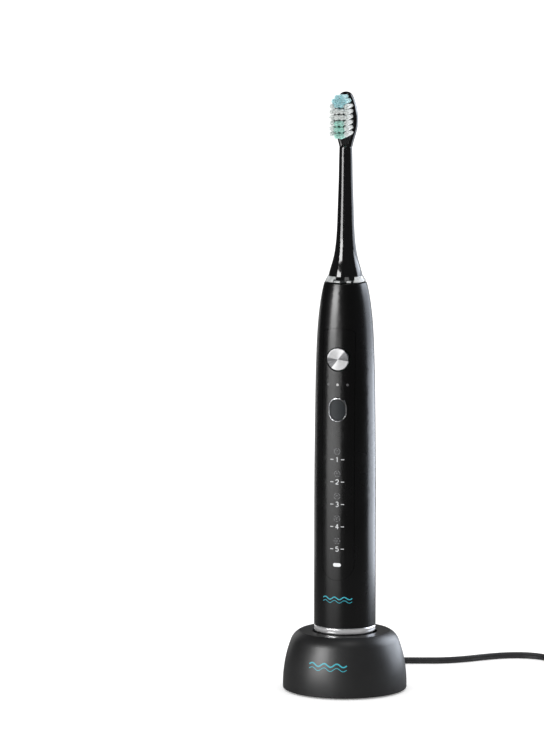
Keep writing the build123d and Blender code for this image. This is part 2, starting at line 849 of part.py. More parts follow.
with BuildPart() as chassis:
    disc_floors = [cap_plug_top, battery_bulkhead, motor_seat, chassis_top - disc_thickness]
    for disc_floor in disc_floors:
        with BuildSketch(Plane.XY.offset(disc_floor)):
            Circle(chassis_radius)
        extrude(amount=disc_thickness)
    for cradle_floor in (cell_bottom + 7, cell_top - 10):
        with BuildSketch(Plane.XY.offset(cradle_floor)):
            Circle(chassis_radius)
            with Locations((0, cell_offset)):
                Circle(cell_radius + cradle_gap, mode=Mode.SUBTRACT)
        extrude(amount=cradle_thickness)
    with BuildSketch(Plane.XY.offset(cap_plug_top)):
        with GridLocations(rail_inner + rail_outer, 1, 2, 1):
            Rectangle(rail_outer - rail_inner, rail_width)
    extrude(amount=chassis_top - cap_plug_top)
    # A flat front for the control board to lie on.
    with BuildSketch(Plane.XY.offset(cap_plug_top)):
        with Locations((0, board_back)):
            Rectangle(4 * chassis_radius, 10, align=(Align.CENTER, Align.MAX))
    extrude(amount=chassis_top - cap_plug_top, mode=Mode.SUBTRACT)
    with BuildSketch(Plane.XY.offset(chassis_top - disc_thickness)):
        Circle(shaft_radius + 1.45)
    extrude(amount=disc_thickness, mode=Mode.SUBTRACT)
    with BuildSketch(Plane.XZ.offset(-board_back)):
        with Locations((0, board_screw_height)):
            with GridLocations(board_screw_spacing, 1, 2, 1):
                Circle(board_screw_radius)
    extrude(amount=-(board_screw_grip + 0.4), mode=Mode.SUBTRACT)

with BuildPart() as battery:
    with BuildSketch(Plane.XY.offset(cell_bottom)):
        with Locations((0, cell_offset)):
            Circle(cell_radius)
    extrude(amount=cell_length)
    fillet(battery.edges().filter_by(GeomType.CIRCLE), radius=0.6)

with BuildPart() as battery_contacts:
    with BuildSketch(Plane.XY.offset(cap_plug_top + disc_thickness)):
        with Locations((0, cell_offset)):
            Circle(4.0)
    extrude(amount=cell_bottom - cap_plug_top - disc_thickness)
    with BuildSketch(Plane.XY.offset(cell_top)):
        with Locations((0, cell_offset)):
            Circle(2.8)
    extrude(amount=battery_bulkhead - cell_top)

with BuildPart() as control_board:
    with BuildSketch(Plane.XZ.offset(-board_back)):
        with Locations((0, (board_bottom + board_top) / 2)):
            RectangleRounded(board_width, board_top - board_bottom, radius=1.0)
        with Locations((0, board_screw_height)):
            with GridLocations(board_screw_spacing, 1, 2, 1):
                Circle(board_screw_radius, mode=Mode.SUBTRACT)
    extrude(amount=board_thickness)

with BuildPart() as chassis_screws:
    with BuildSketch(Plane.XZ.offset(-board_face)):
        with Locations((0, board_screw_height)):
            with GridLocations(board_screw_spacing, 1, 2, 1):
                Circle(board_screw_head)
    extrude(amount=board_screw_head_height)
    with BuildSketch(Plane.XZ.offset(-board_face)):
        with Locations((0, board_screw_height)):
            with GridLocations(board_screw_spacing, 1, 2, 1):
                Circle(board_screw_radius)
    extrude(amount=-(board_thickness + board_screw_grip))

with BuildPart() as switch_bodies:
    for switch_level in (power_height, mode_height):
        with BuildSketch(Plane.XZ.offset(-board_face)):
            with Locations((0, switch_level)):
                Rectangle(switch_size, switch_size)
                Circle(plunger_radius + plunger_clearance, mode=Mode.SUBTRACT)
        extrude(amount=switch_height)

with BuildPart() as indicator_leds:
    with BuildSketch(Plane.XZ.offset(-board_face)):
        with Locations((0, dot_height)):
            with GridLocations(dot_spacing, 1, 3, 1):
                Rectangle(1.0, 1.6)
        with Locations(*[(0, height) for height in level_heights()]):
            Rectangle(1.6, 1.0)
        with Locations((0, pill_height)):
            Rectangle(1.6, 1.0)
    extrude(amount=led_height)

with BuildPart() as board_chips:
    with BuildSketch(Plane.XZ.offset(-board_face)):
        with Locations((0, (mode_height + level_top) / 2)):
            Rectangle(6.0, 6.0)
        with Locations(
            (-3.4, level_top - 0.5 * level_pitch),
            (3.4, level_top - 2.5 * level_pitch),
            (-3.4, level_top - 3.5 * level_pitch),
        ):
            Rectangle(3.0, 2.4)
    extrude(amount=chip_height)

panel_skin = front_skin(panel_depth, 0)
wall_skin = front_skin(handle_wall, panel_depth)

with BuildPart() as control_panel:
    extrude(panel_outline(panel_seam), amount=2 * handle_radius)
    add(panel_skin, mode=Mode.INTERSECT)
    with BuildSketch(Plane.XZ):
        with Locations((0, power_height)):
            Circle(power_opening)
        with Locations((0, mode_height)):
            SlotOverall(mode_rim_length, mode_rim_width, rotation=90)
        with Locations((0, dot_height)):
            with GridLocations(dot_spacing, 1, 3, 1):
                Circle(dot_radius)
        with Locations(*[(0, height) for height in level_heights()]):
            Circle(level_radius)
        with Locations((0, pill_height)):
            SlotOverall(pill_length, pill_width)
    extrude(amount=2 * handle_radius, mode=Mode.SUBTRACT)

with BuildPart() as indicator_windows:
    with BuildSketch(Plane.XZ):
        with Locations((0, dot_height)):
            with GridLocations(dot_spacing, 1, 3, 1):
                Circle(dot_radius)
        with Locations(*[(0, height) for height in level_heights()]):
            Circle(level_radius)
        with Locations((0, pill_height)):
            SlotOverall(pill_length, pill_width)
    extrude(amount=2 * handle_radius)
    add(panel_skin, mode=Mode.INTERSECT)

with BuildPart() as power_button_gasket:
    with BuildSketch(Plane.XZ):
        with Locations((0, power_height)):
            Circle(power_opening + power_gasket)
            Circle(power_opening, mode=Mode.SUBTRACT)
    extrude(amount=2 * handle_radius)
    add(wall_skin, mode=Mode.INTERSECT)

with BuildPart() as mode_button_rim:
    with BuildSketch(Plane.XZ):
        with Locations((0, mode_height)):
            SlotOverall(mode_rim_length, mode_rim_width, rotation=90)
            SlotOverall(
                mode_hole_length, mode_hole_width, rotation=90, mode=Mode.SUBTRACT
            )
    extrude(amount=2 * handle_radius)
    add(front_skin(handle_wall, -mode_rim_stand), mode=Mode.INTERSECT)

with BuildPart() as motor_can:
    with BuildSketch(Plane.XY.offset(motor_bottom)):
        Circle(motor_radius)
        Circle(motor_bore, mode=Mode.SUBTRACT)
    extrude(amount=motor_length)

with BuildPart() as motor_cap_lower:
    with BuildSketch(Plane.XY.offset(motor_bottom)):
        Circle(motor_bore)
    extrude(amount=motor_cap)
    with BuildSketch(Plane.XY.offset(motor_bottom + motor_cap - bearing_width)):
        Circle(bearing_radius)
    extrude(amount=bearing_width, mode=Mode.SUBTRACT)

with BuildPart() as motor_cap_upper:
    with BuildSketch(Plane.XY.offset(motor_top - motor_cap)):
        Circle(motor_bore)
    extrude(amount=motor_cap)
    with BuildSketch(Plane.XY.offset(motor_top - motor_cap)):
        Circle(bearing_radius)
    extrude(amount=bearing_width, mode=Mode.SUBTRACT)
    with BuildSketch(Plane.XY.offset(motor_top - motor_cap)):
        Circle(shaft_radius + motor_shaft_gap)
    extrude(amount=motor_cap, mode=Mode.SUBTRACT)

with BuildPart() as bearing_lower:
    with BuildSketch(Plane.XY.offset(motor_bottom + motor_cap - bearing_width)):
        Circle(bearing_radius)
        Circle(shaft_radius + slide_gap, mode=Mode.SUBTRACT)
    extrude(amount=bearing_width)

with BuildPart() as bearing_upper:
    with BuildSketch(Plane.XY.offset(motor_top - motor_cap)):
        Circle(bearing_radius)
        Circle(shaft_radius + slide_gap, mode=Mode.SUBTRACT)
    extrude(amount=bearing_width)

with BuildPart() as motor_coils:
    with BuildSketch(Plane.XY.offset(motor_bottom + motor_cap + stator_end_gap)):
        Circle(motor_bore)
        Circle(stator_inner, mode=Mode.SUBTRACT)
        with PolarLocations(motor_bore - 0.3, 4, start_angle=45):
            Rectangle(1.2, 0.9, mode=Mode.SUBTRACT)
    extrude(amount=motor_length - 2 * (motor_cap + stator_end_gap))

with BuildPart() as nose_bulkhead:
    with BuildSketch(Plane.XZ):
        with BuildLine():
            flange_bottom = handle_shoulder - 4.0
            seal_seat = handle_shoulder - 2.0
            Polyline(
                (shaft_radius + motor_shaft_gap, flange_bottom),
                (nose_radius + nose_flange, flange_bottom),
                (nose_radius + nose_flange, handle_shoulder),
                (nose_radius, handle_shoulder),
                (nose_radius, handle_top),
                (seal_radius, handle_top),
                (seal_radius, seal_seat),
                (shaft_radius + motor_shaft_gap, seal_seat),
                close=True,
            )
        make_face()
    revolve(axis=Axis.Z)

with BuildPart() as shaft_seal:
    with BuildSketch(Plane.XY.offset(seal_seat)):
        Circle(seal_radius)
        Circle(shaft_radius + slide_gap, mode=Mode.SUBTRACT)
    extrude(amount=seal_top - seal_seat)
    # Bellows folds above the handle.
    for fold in (0.45, 1.15):
        with BuildSketch(Plane.XY.offset(handle_top + fold)):
            Circle(seal_radius + 1)
            Circle(seal_radius - 0.6, mode=Mode.SUBTRACT)
        extrude(amount=0.3, mode=Mode.SUBTRACT)

# --------------------------------------------------------------------------- buttons

power_face = -(barrel_radius(power_height) - power_sink)
plunger_front = board_face - switch_height - plunger_stand
button_back = plunger_front - button_flange

with BuildPart() as power_button:
    with BuildSketch(Plane.XZ.offset(-button_back)):
        with Locations((0, power_height)):
            Circle(power_radius)
    extrude(amount=button_back - power_face)
    fillet(power_button.edges().group_by(Axis.Y)[0], radius=0.35)
    with BuildSketch(Plane.XZ.offset(-plunger_front)):
        with Locations((0, power_height)):
            Circle(button_boss_radius)
    extrude(amount=button_flange)

with BuildPart() as power_plunger:
    with BuildSketch(Plane.XZ.offset(-plunger_front)):
        with Locations((0, power_height)):
            Circle(plunger_radius)
    extrude(amount=-(plunger_stand + switch_height - press_travel - 0.1))

with BuildPart() as mode_button:
    with BuildSketch(Plane.XZ.offset(-button_back)):
        with Locations((0, mode_height)):
            SlotOverall(mode_length, mode_width, rotation=90)
    extrude(amount=handle_radius)
    add(front_skin(handle_radius - 4, mode_sink), mode=Mode.INTERSECT)
    with BuildSketch(Plane.XZ.offset(-plunger_front)):
        with Locations((0, mode_height)):
            Circle(button_boss_radius)
    extrude(amount=button_flange)

with BuildPart() as mode_plunger:
    with BuildSketch(Plane.XZ.offset(-plunger_front)):
        with Locations((0, mode_height)):
            Circle(plunger_radius)
    extrude(amount=-(plunger_stand + switch_height - press_travel - 0.1))

# ----------------------------------------------------------------------- drive shaft

with BuildPart() as drive_shaft:
    with BuildSketch(Plane.XY.offset(shaft_bottom)):
        Circle(shaft_radius)
    extrude(amount=shaft_top - shaft_bottom)
    chamfer(drive_shaft.edges().group_by(Axis.Z)[-1], length=0.3)
    with BuildSketch(Plane.XY.offset(socket_bottom + 4)):
        with Locations((0, shaft_flat)):
            Rectangle(6, 3, align=(Align.CENTER, Align.MIN))
    extrude(amount=shaft_top - socket_bottom, mode=Mode.SUBTRACT)

rotor_floor = motor_bottom + motor_cap + rotor_end_gap
rotor_length = motor_length - 2 * (motor_cap + rotor_end_gap)

with BuildPart() as rotor_core:
    with BuildSketch(Plane.XY.offset(rotor_floor)):
        Circle(rotor_core_radius)
        Circle(shaft_radius, mode=Mode.SUBTRACT)
    extrude(amount=rotor_length)

with BuildPart() as rotor_magnets:
    with BuildSketch(Plane.XY.offset(rotor_floor + 1)):
        Circle(magnet_radius)
        Circle(rotor_core_radius, mode=Mode.SUBTRACT)
        Rectangle(4 * magnet_radius, magnet_gap, mode=Mode.SUBTRACT)
    extrude(amount=rotor_length - 2)

# ------------------------------------------------------------------------ brush head

head_plane = Plane.XZ  # faces the front
half_width = head_width / 2
plate_curve = [
    (2.1, neck_top - 5.0),
    (3.3, neck_top + 1.2),
    (half_width - 0.5, neck_top + 6.4),
    (half_width, neck_top + 11.0),
    (half_width - 0.75, neck_top + 16.6),
    (half_width - 2.3, head_tip - 1.9),
    (0, head_tip),
]


def plate_half_width(height):
    """Half the head plate's width at a height, by straight lines along its curve."""
    for (near, low), (far, high) in zip(plate_curve, plate_curve[1:]):
        if low <= height <= high:
            return near + (far - near) * (height - low) / (high - low)
    return 0.0


# Colour of each row of the two middle columns, from the bottom up.
inner_colours = ["green", "green", "green", "white", "white", "blue"]


def tuft_places():
    """Offset, height and colour of every tuft: outer columns, inner columns, then the tip."""
    places = []
    inner = column_pitch / 2
    for row in range(outer_row_count):
        height = neck_top + outer_row_start + row * outer_row_pitch
        room = plate_half_width(height) - tuft_radius - tuft_edge
        outer = min(3 * inner, room)
        places += [(-outer, height, "white"), (outer, height, "white")]
    for row, colour in enumerate(inner_colours):
        height = neck_top + inner_row_start + row * inner_row_pitch
        places += [(-inner, height, colour), (inner, height, colour)]
    crown = head_tip - crown_drop
    places += [(side * crown_spacing, crown, "blue") for side in (-1, 0, 1)]
    places += [(side * tip_spacing / 2, head_tip - tip_drop, "blue") for side in (-1, 1)]
    return places


tufts = tuft_places()


def tuft_group(colour):
    """The places of the tufts of one colour."""
    return [(offset, height) for offset, height, shade in tufts if shade == colour]


def ring_tab(clearance):
    """The tab at the neck's foot, or with a clearance, the notch that it sits in."""
    angle = math.radians(tab_turn)
    facing = Plane(
        origin=(0, 0, neck_bottom),
        x_dir=(math.cos(angle), math.sin(angle), 0),
        z_dir=(0, 0, 1),
    )
    with BuildPart(mode=Mode.PRIVATE) as tab:
        with BuildSketch(facing):
            Rectangle(
                tab_width + 2 * clearance, 2 * id_ring_radius, align=(Align.CENTER, Align.MAX)
            )
            Circle(tab_root - clearance, mode=Mode.SUBTRACT)
        extrude(amount=-(tab_drop + clearance))
    return tab.part


def ring_section(inset):
    """Half section of the colour ring, its sloping outside moved in by inset."""
    with BuildSketch(Plane.XZ) as section:
        with BuildLine():
            Polyline(
                (id_ring_bore, id_ring_bottom),
                (id_ring_radius - inset, id_ring_bottom),
                (neck_bottom_radius + 0.2 - inset, neck_bottom),
                (id_ring_bore, neck_bottom),
                close=True,
            )
        make_face()
    return section.sketch


with BuildPart() as head_stem:
    with BuildSketch(Plane.XZ):
        with BuildLine():
            Polyline((neck_curve[-1][1], neck_top), (0, neck_top), (0, neck_bottom),
                     (neck_bottom_radius, neck_bottom))
            Spline(
                [(radius, neck_bottom + height) for height, radius in neck_curve],
                tangents=[(-0.2, 1), (-0.03, 1)],
            )
        make_face()
    revolve(axis=Axis.Z)
    fillet(head_stem.edges().filter_by(GeomType.CIRCLE).group_by(Axis.Z)[-1], radius=1.6)
    with BuildPart(mode=Mode.PRIVATE) as plate:
        with BuildSketch(head_plane.offset(-head_back)):
            with BuildLine() as half_outline:
                Spline(plate_curve, tangents=[(0.1, 1), (-1, 0)])
                Polyline((0, head_tip), (0, neck_top - 5.0), (2.1, neck_top - 5.0))
            make_face()
            mirror(about=Plane.YZ)
        extrude(amount=head_back + head_front)
        fillet(
            plate.edges().filter_by(lambda edge: edge.length > 10),
            radius=head_edge,
        )
    add(plate.part)
    with BuildPart(mode=Mode.PRIVATE) as tab:
        revolve(ring_section(0.2), axis=Axis.Z)
        add(ring_tab(0), mode=Mode.INTERSECT)
    add(tab.part)
    # The socket that takes the shaft, and the space over the shaft's seal.
    with BuildSketch(Plane.XY.offset(neck_bottom)):
        Circle(socket_radius)
    extrude(amount=socket_top - neck_bottom, mode=Mode.SUBTRACT)
    # Holes for the tufts.
    with BuildSketch(head_plane.offset(head_front)):
        with Locations(*[(offset, height) for offset, height, shade in tufts]):
            Circle(tuft_radius)
    extrude(amount=-tuft_depth, mode=Mode.SUBTRACT)

with BuildPart() as head_socket_insert:
    with BuildSketch(Plane.XY.offset(socket_bottom)):
        Circle(socket_radius)
        Circle(shaft_radius + slide_gap, mode=Mode.SUBTRACT)
    extrude(amount=socket_top - socket_bottom)
    with BuildSketch(Plane.XY.offset(socket_bottom + 6)):
        with Locations((0, shaft_flat + slide_gap)):
            Rectangle(3.0, 1.2, align=(Align.CENTER, Align.MIN))
    extrude(amount=socket_top - socket_bottom - 6)

with BuildPart() as id_ring:
    revolve(ring_section(0), axis=Axis.Z)
    ring_edges = id_ring.edges().filter_by(GeomType.CIRCLE).sort_by(SortBy.RADIUS)[-1]
    fillet(ring_edges, radius=0.4)
    add(ring_tab(tab_gap), mode=Mode.SUBTRACT)

with BuildPart() as bristles_white:
    with BuildSketch(head_plane.offset(head_front - tuft_depth)):
        with Locations(*tuft_group("white")):
            Circle(tuft_radius)
    extrude(amount=tuft_depth + tuft_length)

with BuildPart() as bristles_green:
    with BuildSketch(head_plane.offset(head_front - tuft_depth)):
        with Locations(*tuft_group("green")):
            Circle(tuft_radius)
    extrude(amount=tuft_depth + tuft_length)

with BuildPart() as bristles_blue:
    with BuildSketch(head_plane.offset(head_front - tuft_depth)):
        with Locations(*tuft_group("blue")):
            Circle(tuft_radius)
    extrude(amount=tuft_depth + tuft_length)

# ----------------------------------------------------------------- labels and files

pieces = {
    "charger_shell": charger_shell,
    "charger_base_plate": charger_base_plate,
    "charger_foot_ring": charger_foot_ring,
    "charger_screws": charger_screws,
    "charger_board": charger_board,
    "charger_board_parts": charger_board_parts,
    "charger_bobbin": charger_bobbin,
    "charger_coil": charger_coil,
    "charger_ferrite": charger_ferrite,
    "cord_strain_relief": cord_strain_relief,
    "cord_lead": cord_lead,
    "cord_coil": cord_coil,
    "cord_tail": cord_tail,
    "cord_tie": cord_tie,
    "plug_grip": plug_grip,
    "plug_shell": plug_shell,
    "plug_insert": plug_insert,
    "plug_contacts": plug_contacts,
    "handle_body": handle_body,
    "base_ring": base_ring,
    "bottom_cap": bottom_cap,
    "cap_seal": cap_seal,
    "receiver_coil": receiver_coil,
    "chassis": chassis,
    "battery": battery,
    "battery_contacts": battery_contacts,
    "control_board": control_board,
    "chassis_screws": chassis_screws,
    "switch_bodies": switch_bodies,
    "indicator_leds": indicator_leds,
    "board_chips": board_chips,
    "control_panel": control_panel,
    "indicator_windows": indicator_windows,
    "power_button_gasket": power_button_gasket,
    "mode_button_rim": mode_button_rim,
    "motor_can": motor_can,
    "motor_cap_lower": motor_cap_lower,
    "motor_cap_upper": motor_cap_upper,
    "bearing_lower": bearing_lower,
    "bearing_upper": bearing_upper,
    "motor_coils": motor_coils,
    "nose_bulkhead": nose_bulkhead,
    "shaft_seal": shaft_seal,
    "power_button": power_button,
    "power_plunger": power_plunger,
    "mode_button": mode_button,
    "mode_plunger": mode_plunger,
    "drive_shaft": drive_shaft,
    "rotor_core": rotor_core,
    "rotor_magnets": rotor_magnets,
    "head_stem": head_stem,
    "head_socket_insert": head_socket_insert,
    "id_ring": id_ring,
    "bristles_white": bristles_white,
    "bristles_green": bristles_green,
    "bristles_blue": bristles_blue,
}

for name, piece in pieces.items():
    piece.part.label = name
    export_step(piece.part, f"parts/{name}.step")
    print(name, len(piece.part.solids()), round(piece.part.volume, 1))
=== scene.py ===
"""Looks for the electric toothbrush on its charger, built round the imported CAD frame.

Everything is in metres, in the frame's own coordinates: +Z up, the front towards -Y.
"""

import json
import math
import random

import bmesh
import bpy
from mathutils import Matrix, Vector
from mathutils.bvhtree import BVHTree


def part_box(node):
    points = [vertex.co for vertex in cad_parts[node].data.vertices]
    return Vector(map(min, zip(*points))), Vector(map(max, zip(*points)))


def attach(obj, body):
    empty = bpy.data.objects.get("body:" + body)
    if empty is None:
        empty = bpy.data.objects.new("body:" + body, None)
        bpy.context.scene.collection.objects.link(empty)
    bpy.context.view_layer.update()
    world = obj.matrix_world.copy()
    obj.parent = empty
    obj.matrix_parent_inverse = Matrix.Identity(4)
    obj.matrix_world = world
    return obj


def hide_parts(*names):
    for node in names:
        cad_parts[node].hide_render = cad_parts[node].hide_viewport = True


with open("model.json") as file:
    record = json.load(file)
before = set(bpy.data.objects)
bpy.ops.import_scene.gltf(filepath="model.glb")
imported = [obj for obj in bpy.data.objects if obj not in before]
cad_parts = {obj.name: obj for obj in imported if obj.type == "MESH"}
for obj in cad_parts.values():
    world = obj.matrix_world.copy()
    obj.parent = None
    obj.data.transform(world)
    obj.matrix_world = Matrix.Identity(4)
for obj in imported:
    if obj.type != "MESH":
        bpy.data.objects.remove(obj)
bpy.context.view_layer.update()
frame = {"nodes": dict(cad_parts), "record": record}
nodes = frame["nodes"]
MM = 0.001

# ------------------------------------------------------------------ places from the frame

power_low, power_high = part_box("power_button")
ring_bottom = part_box("id_ring")[0].z

# ------------------------------------------------------------------------- node helpers


def new_material(name):
    """An empty node material with its Principled shader."""
    mat = bpy.data.materials.new(name)
    mat.use_nodes = True
    tree = mat.node_tree
    shader = tree.nodes["Principled BSDF"]
    return mat, tree, shader


def add(tree, kind, **values):
    """A node of a kind; values set its inputs by name, or its own properties."""
    node = tree.nodes.new(kind)
    for key, value in values.items():
        label = key.replace("_", " ")
        if label in node.inputs:
            node.inputs[label].default_value = value
        else:
            setattr(node, key, value)
    return node


def link(tree, source, target):
    tree.links.new(source, target)


def object_place(tree):
    """The surface point in the object's own coordinates, which are the frame's."""
    return add(tree, "ShaderNodeTexCoord").outputs["Object"]


def noise(tree, place, scale, detail=4.0, roughness=0.55):
    """Noise with features about one over scale metres across."""
    node = add(tree, "ShaderNodeTexNoise", Scale=scale, Detail=detail, Roughness=roughness)
    link(tree, place, node.inputs["Vector"])
    return node.outputs["Fac"]


def ranged(tree, value, low, high, start=0.3, end=0.7):
    """A value moved from start..end to low..high."""
    node = add(tree, "ShaderNodeMapRange")
    node.inputs["From Min"].default_value = start
    node.inputs["From Max"].default_value = end
    node.inputs["To Min"].default_value = low
    node.inputs["To Max"].default_value = high
    link(tree, value, node.inputs["Value"])
    return node.outputs["Result"]


def mixed(tree, factor, first, second):
    """A colour between two, by a factor socket; each colour is a value or a socket."""
    node = tree.nodes.new("ShaderNodeMix")
    node.data_type = "RGBA"
    for label, colour in (("A", first), ("B", second)):
        if isinstance(colour, bpy.types.NodeSocket):
            link(tree, colour, node.inputs[label])
        else:
            node.inputs[label].default_value = (*colour, 1)
    link(tree, factor, node.inputs["Factor"])
    return node.outputs["Result"]


def worked_out(tree, operation, *values, use_clamp=False):
    """A sum on sockets or plain numbers, by a Math node."""
    node = add(tree, "ShaderNodeMath", operation=operation, use_clamp=use_clamp)
    for socket, value in zip(node.inputs, values):
        if isinstance(value, bpy.types.NodeSocket):
            link(tree, value, socket)
        else:
            socket.default_value = value
    return node.outputs["Value"]


def split(tree, vector):
    """The X, Y and Z outputs of a vector socket."""
    apart = add(tree, "ShaderNodeSeparateXYZ")
    link(tree, vector, apart.inputs["Vector"])
    return apart.outputs


def bumped(tree, shader, height, distance, strength=1.0):
    """Surface relief from a value between 0 and 1, as high as the distance."""
    node = add(tree, "ShaderNodeBump", Strength=strength, Distance=distance)
    link(tree, height, node.inputs["Height"])
    link(tree, node.outputs["Normal"], shader.inputs["Normal"])


CLOUD_SIZE = 18 * MM
COAT_ROUGHNESS = 0.08


def plastic(name, colour, roughness, grain=0.25 * MM, depth=0.004 * MM, spread=0.25, coat=0.0,
            specular=0.5):
    """Moulded plastic: fine spark-eroded grain, and slight clouding in colour and shine."""
    mat, tree, shader = new_material(name)
    place = object_place(tree)
    clouds = noise(tree, place, 1 / CLOUD_SIZE, detail=3.0)
    fine = noise(tree, place, 1 / grain, detail=2.0)
    light = tuple(min(1.0, part * (1 + spread)) for part in colour)
    dark = tuple(part * (1 - spread) for part in colour)
    link(tree, mixed(tree, ranged(tree, clouds, 0, 1), dark, light), shader.inputs["Base Color"])
    link(tree, ranged(tree, clouds, roughness * 0.9, roughness * 1.12), shader.inputs["Roughness"])
    shader.inputs["Specular IOR Level"].default_value = specular
    shader.inputs["Coat Weight"].default_value = coat
    shader.inputs["Coat Roughness"].default_value = COAT_ROUGHNESS
    bumped(tree, shader, fine, depth)
    return mat


METAL_MARK = 0.12 * MM
METAL_CLOUD = 7 * MM


def metal(name, colour, roughness, brush=(1.0, 1.0, 1.0), depth=0.002 * MM, metallic=1.0):
    """Metal with fine marks drawn out along the axes where brush is small."""
    mat, tree, shader = new_material(name)
    place = object_place(tree)
    stretch = add(tree, "ShaderNodeVectorMath", operation="MULTIPLY")
    stretch.inputs[1].default_value = brush
    link(tree, place, stretch.inputs[0])
    marks = noise(tree, stretch.outputs["Vector"], 1 / METAL_MARK, detail=3.0)
    clouds = noise(tree, place, 1 / METAL_CLOUD, detail=3.0)
    shader.inputs["Metallic"].default_value = metallic
    dark = tuple(part * 0.86 for part in colour)
    link(tree, mixed(tree, ranged(tree, clouds, 0, 1), dark, colour), shader.inputs["Base Color"])
    link(tree, ranged(tree, marks, roughness * 0.75, roughness * 1.3), shader.inputs["Roughness"])
    bumped(tree, shader, marks, depth)
    return mat


SPUN_GROOVE = 0.09 * MM
WEDGE_TURN = math.radians(42)
WEDGE_START, WEDGE_END = 0.84, 0.96
# Painted light and shade: the metal's colour where it is lit, and in its two painted dark wedges.
SPUN_LIT = ((0.34, 0.34, 0.345), (0.44, 0.44, 0.445))
SPUN_SHADED = ((0.035, 0.035, 0.037), (0.15, 0.15, 0.155))


def spun_metal():
    """Turned aluminium: concentric tool marks, a real anisotropic shine, and painted light and
    shade in its colour: lit metal with two painted dark wedges.
    """
    mat, tree, shader = new_material("spun_aluminium")
    centre = (power_low + power_high) / 2
    offset = add(tree, "ShaderNodeVectorMath", operation="SUBTRACT")
    offset.inputs[1].default_value = (centre.x, 0, centre.z)
    link(tree, object_place(tree), offset.inputs[0])
    apart = split(tree, offset.outputs["Vector"])
    flat = add(tree, "ShaderNodeCombineXYZ")
    link(tree, apart["X"], flat.inputs["X"])
    link(tree, apart["Z"], flat.inputs["Z"])
    length = add(tree, "ShaderNodeVectorMath", operation="LENGTH")
    link(tree, flat.outputs["Vector"], length.inputs[0])
    ring = add(tree, "ShaderNodeCombineXYZ")
    link(tree, length.outputs["Value"], ring.inputs["X"])
    grooves = noise(tree, ring.outputs["Vector"], 1 / SPUN_GROOVE, detail=4.0, roughness=0.7)

    # The painted dark wedges repeat twice a turn, and noise along the angle frays their edges.
    angle = worked_out(tree, "ARCTAN2", apart["Z"], apart["X"])
    wave = worked_out(tree, "COSINE",
                      worked_out(tree, "MULTIPLY_ADD", angle, 2.0, -WEDGE_TURN))
    spoke = add(tree, "ShaderNodeCombineXYZ")
    link(tree, angle, spoke.inputs["X"])
    streaks = noise(tree, spoke.outputs["Vector"], 9.0, detail=3.0)
    mottled = worked_out(tree, "MULTIPLY_ADD", streaks, 0.8, wave)
    # Painted shade: one inside the two dark wedges, where the metal takes its shaded colour.
    painted_dark_wedges = ranged(tree, mottled, 0, 1, start=WEDGE_START, end=WEDGE_END)
    rays = noise(tree, spoke.outputs["Vector"], 16.0, detail=2.0)
    lit = mixed(tree, ranged(tree, rays, 0, 1), *SPUN_LIT)
    shaded = mixed(tree, ranged(tree, rays, 0, 1, 0.38, 0.62), *SPUN_SHADED)
    link(tree, mixed(tree, painted_dark_wedges, lit, shaded), shader.inputs["Base Color"])
    shader.inputs["Metallic"].default_value = 1.0
    shader.inputs["Anisotropic"].default_value = 0.75
    tangent = add(tree, "ShaderNodeTangent", direction_type="RADIAL", axis="Y")
    link(tree, tangent.outputs["Tangent"], shader.inputs["Tangent"])
    link(tree, ranged(tree, grooves, 0.24, 0.36), shader.inputs["Roughness"])
    bumped(tree, shader, grooves, 0.004 * MM, strength=0.6)
    return mat


MASK_EDGE = 0.15  # millimetres
FRONT_EDGE = 0.2 * MM


def masked(tree, apart, across, height):
    """One inside a span across and a span of height (millimetres) on the front, else nought."""
    result = ranged(tree, apart["Y"], 1, 0, start=-FRONT_EDGE, end=FRONT_EDGE)
    for axis, (low, high) in (("X", across), ("Z", height)):
        for start, end in ((low - MASK_EDGE, low), (high + MASK_EDGE, high)):
            edge = ranged(tree, apart[axis], 0, 1, start=start * MM, end=end * MM)
            result = worked_out(tree, "MULTIPLY", result, edge)
    return result


# Spans in millimetres, across the front and up from the ring's bottom.
TAB_ACROSS, TAB_RISE = (-3.3, 5.4), (-1.0, 1.4)
GLINTS_ACROSS, GLINT_RISE = ((-3.0, -0.2), (2.8, 4.4)), (0.1, 0.85)


def clear_plastic():
    """Clear moulded ring with faint flow marks; the dark tab behind its front is painted in."""
    mat, tree, shader = new_material("clear_plastic")
    place = object_place(tree)
    clouds = noise(tree, place, 1 / (1.5 * MM), detail=2.0)
    apart = split(tree, place)
    tab_height, glint_height = ([ring_bottom / MM + rise for rise in span]
                                for span in (TAB_RISE, GLINT_RISE))
    shade = masked(tree, apart, TAB_ACROSS, tab_height)
    # Painted highlights: two glints where the painted dark band is cut away, so the pale plastic
    # shows.
    for across in GLINTS_ACROSS:
        glint = masked(tree, apart, across, glint_height)
        shade = worked_out(tree, "SUBTRACT", shade, glint, use_clamp=True)
    pale = mixed(tree, ranged(tree, clouds, 0, 1), (0.55, 0.57, 0.57), (0.92, 0.93, 0.93))
    link(tree, mixed(tree, shade, pale, (0.03, 0.032, 0.033)), shader.inputs["Base Color"])
    shader.inputs["Transmission Weight"].default_value = 0.40
    shader.inputs["IOR"].default_value = 1.49
    link(tree, ranged(tree, clouds, 0.02, 0.10), shader.inputs["Roughness"])
    bumped(tree, shader, clouds, 0.01 * MM)
    return mat


def nylon(name, dark, light):
    """Nylon filaments: slightly see-through, in two close shades."""
    mat, tree, shader = new_material(name)
    place = object_place(tree)
    fine = noise(tree, place, 1 / (0.6 * MM), detail=2.0)
    link(tree, mixed(tree, ranged(tree, fine, 0, 1), dark, light), shader.inputs["Base Color"])
    link(tree, ranged(tree, fine, 0.28, 0.42), shader.inputs["Roughness"])
    shader.inputs["Subsurface Weight"].default_value = 0.35
    shader.inputs["Subsurface Radius"].default_value = (1.0, 1.0, 1.0)
    shader.inputs["Subsurface Scale"].default_value = 1.0 * MM
    shader.inputs["IOR"].default_value = 1.53
    bumped(tree, shader, fine, 0.004 * MM)
    return mat


